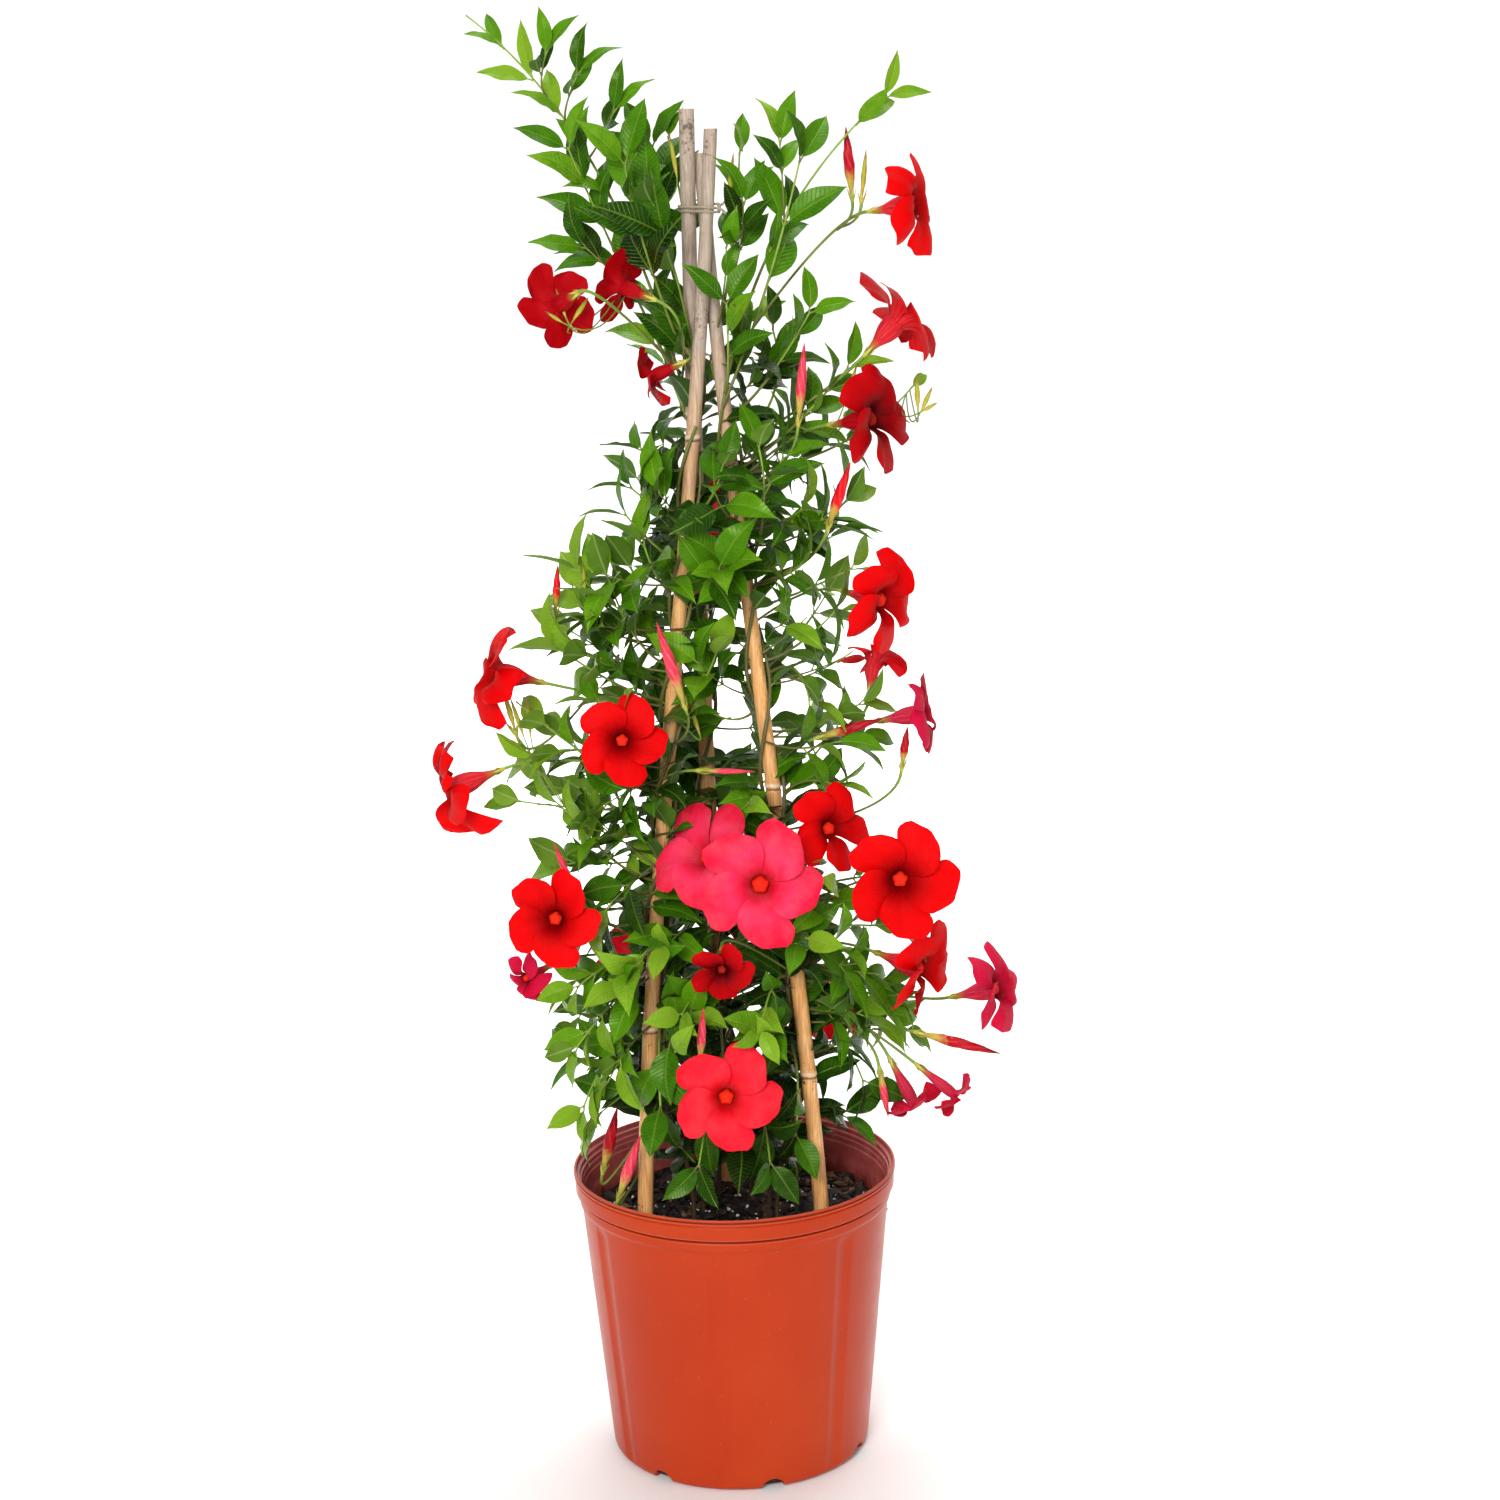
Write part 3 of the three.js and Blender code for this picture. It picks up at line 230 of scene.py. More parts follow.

# The same plastic inside: never faded, and darkened by wet mix up to a ragged water line, which is partly a
# stain and partly painted shade deep inside the pot.
pot_inner, tree, out = start_material("polypropylene_stained_and_painted_shade")
where = add(tree, "TexCoord").outputs["Object"]
height = add(tree, "SeparateXYZ", {"Vector": where}).outputs[2]
ragged = add(tree, "TexNoise", {"Vector": where, "Scale": 45, "Detail": 5, "Roughness": 0.65})
level = add(tree, "Math", {0: ragged, 1: 0.03, 2: height}, operation="MULTIPLY_ADD")
stain_and_shade = add(tree, "MapRange", {"Value": level, 1: 0.222, 2: 0.236, 3: 0.62, 4: 0.0})
base = add(tree, "ValToRGB", {"Fac": ragged}, [(0.3, "#a8443e"), (0.7, "#cf6662")])
stained_and_shaded = add(tree, "Mix", {"Factor": stain_and_shade, 6: base, 7: linear("#43160f")}, data_type="RGBA")
grit = add(tree, "TexNoise", {"Vector": where, "Scale": 700, "Detail": 3})
crust = add(tree, "Bump", {"Height": grit, "Strength": 0.4, "Distance": 0.0004})
lining = add(tree, "BsdfPrincipled", {
    "Base Color": stained_and_shaded.outputs[2], "Roughness": 0.3, "Normal": crust, "IOR": 1.49})
tree.links.new(lining.outputs[0], out.inputs[0])

pot = make_piece("nursery_pot", pot_points, pot_faces, [pot_plastic, pot_inner], pot_lining, sharp=50)
cutters = bmesh.new()
for i in range(FLUTES):
    angle = math.radians(FIRST_FLUTE + NOTCH_AFTER_FLUTE + i * 360 / FLUTES)
    outward = Matrix.Rotation(angle, 4, "Z") @ Matrix.Translation((NOTCH_REACH / 1000, 0, 0))
    bmesh.ops.create_cone(cutters, cap_ends=True, segments=40, radius1=NOTCH_RADIUS / 1000,
                          radius2=NOTCH_RADIUS / 1000, depth=NOTCH_LENGTH / 1000,
                          matrix=outward @ Matrix.Rotation(math.pi / 2, 4, "Y"))
cutter_mesh = bpy.data.meshes.new("notches")
cutters.to_mesh(cutter_mesh)
cutters.free()
cutter = bpy.data.objects.new("notches", cutter_mesh)
bpy.context.scene.collection.objects.link(cutter)
cut = pot.modifiers.new("notches", "BOOLEAN")
cut.operation, cut.solver, cut.object = "DIFFERENCE", "EXACT", cutter
depsgraph = bpy.context.evaluated_depsgraph_get()
notched = bpy.data.meshes.new_from_object(pot.evaluated_get(depsgraph))
pot.modifiers.clear()
pot.data = notched
bpy.data.objects.remove(cutter)
notched.set_sharp_from_angle(angle=math.radians(50))
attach(pot, "root")
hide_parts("pot")

# ----------------------------------------------------------
# The potting mix: composted bark and peat filled to a few fingers below the rim, with coarse
# bark chips and white perlite lying on top.
SOIL_TOP = 209.0
SOIL_EDGE = wall_radius(207) - WALL - 0.3


def mix_height(x, y):
    """Height of the mix: hollows and lumps of a few millimetres."""
    slow = noise.noise(Vector((x / 38, y / 38, 3.0)))
    quick = noise.noise(Vector((x / 11, y / 11, 7.0)))
    fine = noise.noise(Vector((x / 4.5, y / 4.5, 11.0)))
    return SOIL_TOP + 2.4 * slow + 1.5 * quick + 0.9 * fine


soil_side = [(0, 3.3), (106, 3.3), (109.8, 8.0)]
soil_side += [(wall_radius(h) - WALL - 0.3, h) for h in (30, 100, 170, 200, 206)]
soil_rings = [(SOIL_EDGE * (1 - i / 56), 207.0) for i in range(56)] + [(0, 207.0)]
soil_points, soil_faces = turned(soil_side + soil_rings, 224, flute_sink)
soil_points = [(x, y, mix_height(x, y) if z == 207.0 else z) for x, y, z in soil_points]

# Composted bark: almost black, crumbly, damp enough to glint here and there.
mix_dark, tree, out = start_material("composted_bark_mix")
where = add(tree, "TexCoord").outputs["Object"]
crumbs = add(tree, "TexNoise", {"Vector": where, "Scale": 260, "Detail": 8, "Roughness": 0.7})
shade = add(tree, "ValToRGB", {"Fac": crumbs}, [(0.32, "#070403"), (0.5, "#120b08"), (0.66, "#261a13"),
    (0.8, "#453226")])
damp = add(tree, "MapRange", {"Value": crumbs, 1: 0.35, 2: 0.7, 3: 0.5, 4: 0.95})
lumps = add(tree, "Bump", {"Height": crumbs, "Strength": 1.0, "Distance": 0.003})
earth = add(tree, "BsdfPrincipled", {
    "Base Color": shade, "Roughness": damp, "Normal": lumps, "IOR": 1.4})
tree.links.new(earth.outputs[0], out.inputs[0])

soil = make_piece("potting_mix", soil_points, soil_faces, [mix_dark])
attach(soil, "root")
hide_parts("soil")


def lump_shapes(count, subdivisions, seed):
    """Rough lumps about one unit across: an icosphere knocked about, one set of points each."""
    ball = bmesh.new()
    bmesh.ops.create_icosphere(ball, subdivisions=subdivisions, radius=1)
    points = np.array([v.co[:] for v in ball.verts])
    faces = np.array([[v.index for v in f.verts] for f in ball.faces])
    ball.free()
    shapes = []
    for n in range(count):
        push = [1 + 0.55 * noise.noise(Vector(p * 1.3) + Vector((n * 5.1, seed, 0))) for p in points]
        shapes.append(points * np.array(push)[:, None])
    return shapes, faces


def turn_matrix(tilt, spin, roll):
    """A turn about X, then Y, then Z, as a 3 by 3 array."""
    turn = Matrix.Rotation(spin, 3, "Z") @ Matrix.Rotation(tilt, 3, "Y") @ Matrix.Rotation(roll, 3, "X")
    return np.array(turn)


def strew(shapes, faces, count, size, flat, seed):
    """Many lumps lying on the mix, each with its own turn and stretch, and a shade for each."""
    chance = random.Random(seed)
    points, all_faces, shades = [], [], []
    for n in range(count):
        reach = (SOIL_EDGE - 4) * math.sqrt(chance.random())
        angle = chance.uniform(0, 2 * math.pi)
        x, y = reach * math.cos(angle), reach * math.sin(angle)
        long = chance.uniform(*size) / 2
        half = np.array([long, long * chance.uniform(*flat[0]), long * chance.uniform(*flat[1])])
        turn = turn_matrix(chance.gauss(0, 0.38), chance.uniform(0, 2 * math.pi), chance.gauss(0, 0.5))
        lump = (shapes[n % len(shapes)] * half) @ turn.T + (x, y, mix_height(x, y) + 0.35 * half[2])
        all_faces.append(faces + len(points) * len(lump))
        points.append(lump)
        shades += [chance.random()] * len(lump)
    return np.concatenate(points), np.concatenate(all_faces).tolist(), shades


# Milled bark: brown-black flakes with a fibrous grain along them, paler where freshly broken.
bark, tree, out = start_material("pine_bark_milled")
where = add(tree, "TexCoord").outputs["Object"]
mark = add(tree, "Attribute", attribute_name="shade").outputs["Fac"]
fibres = add(tree, "TexNoise", {"Vector": where, "Scale": 520, "Detail": 6, "Roughness": 0.75})
sum_up = add(tree, "Math", {0: fibres, 1: 0.6, 2: mark}, operation="MULTIPLY_ADD")
tone = add(tree, "Math", {0: sum_up, 1: 0.3}, operation="SUBTRACT")
shade = add(tree, "ValToRGB", {"Fac": tone}, [(0.1, "#090403"), (0.5, "#180d08"), (0.82, "#3a2518"),
    (1.0, "#80603f")])
grain = add(tree, "Bump", {"Height": fibres, "Strength": 0.8, "Distance": 0.0008})
chip = add(tree, "BsdfPrincipled", {
    "Base Color": shade, "Roughness": 0.42, "Normal": grain, "IOR": 1.45,
    "Specular IOR Level": 0.3})
tree.links.new(chip.outputs[0], out.inputs[0])

chip_shapes, lump_faces = lump_shapes(12, 2, 1.0)
points, faces, shades = strew(chip_shapes, lump_faces, 560, (7, 19), ((0.28, 0.7), (0.15, 0.36)), 11)
chips = make_piece("bark_chips", points, faces, [bark], marks={"shade": shades}, sharp=30)
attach(chips, "root")
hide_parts("soil")

# Expanded perlite: brittle white grains with a pitted, chalky skin.
perlite, tree, out = start_material("perlite_expanded")
where = add(tree, "TexCoord").outputs["Object"]
pits = add(tree, "TexVoronoi", {"Vector": where, "Scale": 1600})
shade = add(tree, "ValToRGB", {"Fac": pits}, [(0.0, "#9a948a"), (0.5, "#dedad0"), (1.0, "#f1eee6")])
dent = add(tree, "Bump", {"Height": pits, "Strength": 0.6, "Distance": 0.0004})
grit = add(tree, "BsdfPrincipled", {
    "Base Color": shade, "Roughness": 0.85, "Normal": dent, "IOR": 1.5})
tree.links.new(grit.outputs[0], out.inputs[0])

grain_shapes, lump_faces = lump_shapes(6, 1, 9.0)
points, faces, shades = strew(grain_shapes, lump_faces, 240, (1.6, 4.4), ((0.7, 1.0), (0.6, 0.95)), 23)
grains = make_piece("perlite_grains", points, faces, [perlite], sharp=60)
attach(grains, "root")
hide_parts("soil")

# ----------------------------------------------------------
# The canes: three bamboo canes pushed down through the mix and leaning together into a tripod.
# Each is a natural culm, sawn square at the top, with a ring at every joint, slightly bent.
CANES = {
    "left": {"axis": [(-78, -60, 14), (-65, -47, 430), (-23, -23, 843), (3, -7, 1137)],
             "radius": (7, 5.4), "joints": (395, 640, 890)},
    "right": {"axis": [(80, -60, 14), (65, -51, 350), (21, -22, 784), (-6, 11, 1118)],
              "radius": (7, 5.4), "joints": (352, 600, 862)},
    "back": {"axis": [(2, 94, 14), (-14, 52, 580), (-17, 22, 900), (-16, -2, 1153)],
             "radius": (7, 6.2), "joints": (420, 668, 905)},
}


def cane_axis(name, z):
    """The middle of a cane at a height, on the smooth curve through its four axis points."""
    axis = CANES[name]["axis"]
    middle = np.array([0.0, 0.0, z])
    for point in axis:
        weight = 1.0
        for other in axis:
            if other is not point:
                weight *= (z - other[2]) / (point[2] - other[2])
        middle[:2] += weight * np.array(point[:2])
    return middle


def cane_radius(name, z):
    """Radius of a cane at a height, without its joints."""
    axis, (foot, top) = CANES[name]["axis"], CANES[name]["radius"]
    return foot + (top - foot) * (z - axis[0][2]) / (axis[3][2] - axis[0][2])


def joint_scar(z, joints):
    """The dark line where a sheath fell off, and the pale waxy band just above it."""
    dark = sum(math.exp(-((z - joint + 1.6) / 1.1) ** 2) for joint in joints)
    return dark - 0.7 * sum(math.exp(-((z - joint - 1.6) / 1.8) ** 2) for joint in joints)


def joint_relief(z, joints):
    """Radius added near a joint: a swelling, a sheath scar drawn in, then a sharp little ridge."""
    relief = 0.0
    for joint in joints:
        off = z - joint
        relief += 0.75 * math.exp(-(off / 6.5) ** 2) - 0.55 * math.exp(-((off + 1.6) / 0.9) ** 2)
        relief += 0.35 * math.exp(-((off - 1.2) / 0.8) ** 2)
    return relief


# Dried bamboo: orange-tan low down where it is clean, bleached beige and freckled with black mould
# higher up. Long fibres show as fine streaks, and the skin keeps a dull wax gloss.
bamboo, tree, out = start_material("bamboo_culm_weathered")
where = add(tree, "TexCoord").outputs["Object"]
height = add(tree, "SeparateXYZ", {"Vector": where}).outputs[2]
drawn = add(tree, "Mapping", {"Vector": where, "Scale": (1, 1, 0.025)})
fibres = add(tree, "TexNoise", {"Vector": drawn, "Scale": 900, "Detail": 4, "Roughness": 0.6})
patches = add(tree, "TexNoise", {"Vector": where, "Scale": 16, "Detail": 5, "Roughness": 0.6})
level = add(tree, "Math", {0: patches, 1: 0.35, 2: height}, operation="MULTIPLY_ADD")
bleach = add(tree, "MapRange", {"Value": level, 1: 0.94, 2: 1.16})
low = add(tree, "ValToRGB", {"Fac": fibres}, [(0.3, "#bf7f3e"), (0.5, "#e0a564"), (0.72, "#f3c88e")])
high = add(tree, "ValToRGB", {"Fac": fibres}, [(0.3, "#8e7d6b"), (0.5, "#aa9786"), (0.72, "#c0af9f")])
skin = add(tree, "Mix", {"Factor": bleach, 6: low, 7: high}, data_type="RGBA")
freckles = add(tree, "TexNoise", {"Vector": where, "Scale": 210, "Detail": 5, "Roughness": 0.7})
mould = add(tree, "Math", {0: freckles, 1: patches}, operation="MULTIPLY")
spots = add(tree, "MapRange", {"Value": mould, 1: 0.335, 2: 0.39, 3: 0.0, 4: 0.75})
spotted = add(tree, "Mix", {"Factor": spots, 6: skin.outputs[2], 7: linear("#3d3024")}, data_type="RGBA")
scar = add(tree, "Attribute", attribute_name="scar").outputs["Fac"]
line = add(tree, "MapRange", {"Value": scar, 1: 0.1, 2: 0.9, 3: 0.0, 4: 0.8})
lined = add(tree, "Mix", {"Factor": line, 6: spotted.outputs[2], 7: linear("#4a3018")}, data_type="RGBA")
band = add(tree, "MapRange", {"Value": scar, 1: -0.1, 2: -0.6, 3: 0.0, 4: 0.55})
banded = add(tree, "Mix", {"Factor": band, 6: lined.outputs[2], 7: linear("#e6dcc4")}, data_type="RGBA")
ridges = add(tree, "Bump", {"Height": fibres, "Strength": 0.5, "Distance": 0.0004})
gloss = add(tree, "MapRange", {"Value": bleach, 3: 0.36, 4: 0.6})
culm = add(tree, "BsdfPrincipled", {
    "Base Color": banded.outputs[2], "Roughness": gloss, "Normal": ridges, "IOR": 1.5})
tree.links.new(culm.outputs[0], out.inputs[0])

# The sawn end: paler, dry and fibrous, with a dark pith hole.
bamboo_cut, tree, out = start_material("bamboo_sawn_end")
where = add(tree, "TexCoord").outputs["Object"]
pores = add(tree, "TexVoronoi", {"Vector": where, "Scale": 1500})
shade = add(tree, "ValToRGB", {"Fac": pores}, [(0.1, "#6f5433"), (0.5, "#cdb58c"), (1.0, "#e0cfa9")])
rough_cut = add(tree, "Bump", {"Height": pores, "Strength": 0.5, "Distance": 0.0003})
sawn = add(tree, "BsdfPrincipled", {
    "Base Color": shade, "Roughness": 0.85, "Normal": rough_cut, "IOR": 1.5})
tree.links.new(sawn.outputs[0], out.inputs[0])

CANE_COLUMNS = 28
for name, cane in CANES.items():
    foot, top = cane["axis"][0][2], cane["axis"][3][2]
    heights = set(np.arange(foot, top - 1, 12.0))
    for joint in cane["joints"]:
        heights |= set(np.arange(joint - 14, joint + 14, 0.7))
    rings = [(foot, 0.0), (foot, cane_radius(name, foot) - 0.6)]
    rings += [(z, cane_radius(name, z) + joint_relief(z, cane["joints"])) for z in sorted(heights)[1:]]
    brim = cane_radius(name, top)
    rings += [(top - 0.5, brim), (top, brim - 0.5), (top, 0.36 * brim), (top - 4, 0.3 * brim), (top - 9, 0.0)]
    points, faces = turned([(radius, z) for z, radius in rings], CANE_COLUMNS)
    points = np.array(points)
    wobble = [noise.noise(Vector((p[2] / 90, len(name), 2))) * 0.25 for p in points]
    points[:, :2] *= 1 + np.array(wobble)[:, None] * 0.12
    points[:, :2] += [cane_axis(name, z)[:2] for z in points[:, 2]]
    cut_end = [i >= len(rings) - 4 for i in range(len(rings) - 1) for _ in range(CANE_COLUMNS)]
    scars = [joint_scar(z, cane["joints"]) for z in points[:, 2]]
    culm_piece = make_piece(
        "bamboo_cane_" + name, points, faces, [bamboo, bamboo_cut], cut_end, {"scar": scars}, sharp=50)
    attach(culm_piece, "root")
    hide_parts("cane_" + name)

# ----------------------------------------------------------
# The tie: jute twine of two plies, wound twice round the three canes where they meet, and
# knotted, with its two ends left loose.
TIE_TOP, TIE_TURNS, TIE_PITCH, PLY_RADIUS, PLY_LAY = 1077.5, 2.4, 3.3, 0.72, 5.0


def sweep(path, radii, sides, start=0):
    """Points and faces of a round closed tube along a path, with a radius at each of its points."""
    path = np.asarray(path, float)
    steps = np.gradient(path, axis=0)
    steps /= np.maximum(np.linalg.norm(steps, axis=1), 1e-9)[:, None]
    side = np.cross(steps[0], (0.3, 0.9, 0.2))
    points = []
    for at, along, radius in zip(path, steps, radii):
        side = side - along * (side @ along)
        side /= np.linalg.norm(side)
        other = np.cross(along, side)
        for i in range(sides):
            angle = 2 * math.pi * i / sides
            points.append(at + radius * (math.cos(angle) * side + math.sin(angle) * other))
    faces = []
    for ring in range(len(path) - 1):
        for i in range(sides):
            j = (i + 1) % sides
            low, high = start + ring * sides, start + (ring + 1) * sides
            faces.append((low + i, low + j, high + j, high + i))
    faces.append(tuple(range(start + sides - 1, start - 1, -1)))
    last = start + (len(path) - 1) * sides
    faces.append(tuple(range(last, last + sides)))
    return points, faces


def curve_through(points, per_span=12):
    """A smooth path through a few points (Catmull-Rom)."""
    points = [np.array(p, float) for p in points]
    points = [2 * points[0] - points[1], *points, 2 * points[-1] - points[-2]]
    path = []
    for a, b, c, d in zip(points, points[1:], points[2:], points[3:]):
        for i in range(per_span):
            t = i / per_span
            path.append(0.5 * (2 * b + (c - a) * t + (2 * a - 5 * b + 4 * c - d) * t * t
                               + (3 * b - a - 3 * c + d) * t ** 3))
    path.append(points[-2])
    return np.array(path)


def evenly(path, gap):
    """A path cut again into even steps."""
    path = np.asarray(path, float)
    run = np.concatenate([[0], np.cumsum(np.linalg.norm(np.diff(path, axis=0), axis=1))])
    marks = np.linspace(0, run[-1], max(2, int(run[-1] / gap) + 1))
    return np.stack([np.interp(marks, run, path[:, k]) for k in range(3)], axis=1)


winding = []
for i in range(int(40 * TIE_TURNS)):
    angle = 2 * math.pi * i / 40
    outward = np.array([math.cos(angle), math.sin(angle), 0])
    z = TIE_TOP - TIE_PITCH * i / 40
    reach = [cane_axis(name, z) + outward * (cane_radius(name, z) + 1.5) for name in CANES]
    winding.append(max(reach, key=lambda point: point @ outward))
knot = winding[0] * 0.5 + winding[80] * 0.5 + (0.8, 0, 0)
knot_loop = [(0, 3.2, 3), (1.8, 1.2, 3.4), (2.2, -2.0, 1.2), (0.6, -2.6, -2.2), (1.6, 0.4, -3.4),
             (2.6, 2.4, -0.6), (0.8, 1.6, 2.4), (2.4, -1.4, 2.6), (2.0, -2.2, -1.6), (0.6, 1.0, -2.6)]
ends = [[(0.8, -1, 0), (5, -6, -2), (9, -9, -7), (10, -14, -13)],
        [(1, 1, 1), (6, 2, 4), (9, -3, 8), (13, -4, 6)]]
strands = [evenly(winding, 1.0), evenly(curve_through([knot + p for p in knot_loop]), 1.0)]
strands += [evenly(curve_through([knot + p for p in end]), 1.0) for end in ends]
points, faces = [], []
for path in strands:
    steps = np.gradient(path, axis=0)
    steps /= np.linalg.norm(steps, axis=1)[:, None]
    level = np.cross(steps, (0, 0, 1))
    level /= np.maximum(np.linalg.norm(level, axis=1), 1e-6)[:, None]
    rise = np.cross(level, steps)
    for ply in (0, math.pi):
        turn = 2 * math.pi * np.arange(len(path)) / PLY_LAY + ply
        off = 0.62 * PLY_RADIUS * (np.cos(turn)[:, None] * level + np.sin(turn)[:, None] * rise)
        more = sweep(path + off, [PLY_RADIUS] * len(path), 7, len(points))
        points += more[0]
        faces += more[1]

# Jute: greyish after a season outdoors, matte, with stray fibres that catch the light.
jute, tree, out = start_material("jute_twine_twisted")
where = add(tree, "TexCoord").outputs["Object"]
hairs = add(tree, "TexNoise", {"Vector": where, "Scale": 1300, "Detail": 4, "Roughness": 0.7})
shade = add(tree, "ValToRGB", {"Fac": hairs}, [(0.25, "#6d6049"), (0.5, "#a2947a"), (0.8, "#cfc3a8")])
fuzz = add(tree, "Bump", {"Height": hairs, "Strength": 0.8, "Distance": 0.0004})
twine = add(tree, "BsdfPrincipled", {
    "Base Color": shade, "Roughness": 0.88, "Normal": fuzz,
    "Sheen Weight": 0.3, "Sheen Roughness": 0.5})
tree.links.new(twine.outputs[0], out.inputs[0])

tie = make_piece("twine_tie", points, faces, [jute])
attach(tie, "root")
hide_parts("tie")

# ----------------------------------------------------------
# The stems: six young plants, two to a cane. Each main stem twines up its cane and throws leafy
# side shoots; thin flower stalks leave it too. Woody and brown low down, olive to green above.
VINES = {
    "left_1": {"cane": "left", "hole": (-36, -24), "joins": 440, "top": 905, "angle": 280},
    "left_2": {"cane": "left", "hole": (-28, 8), "joins": 560, "top": 880, "angle": 100},
    "right_1": {"cane": "right", "hole": (36, -26), "joins": 420, "top": 950, "angle": 50},
    "right_2": {"cane": "right", "hole": (30, 6), "joins": 520, "top": 935, "angle": 230},
    "back_1": {"cane": "back", "hole": (-14, 36), "joins": 380, "top": 955, "angle": 300},
    "back_2": {"cane": "back", "hole": (14, 38), "joins": 500, "top": 940, "angle": 120},
}
STEM_START, STEM_FOOT, TWIST_PITCH, TWIST_GAP = 218.0, 169.0, 180.0, 3.2

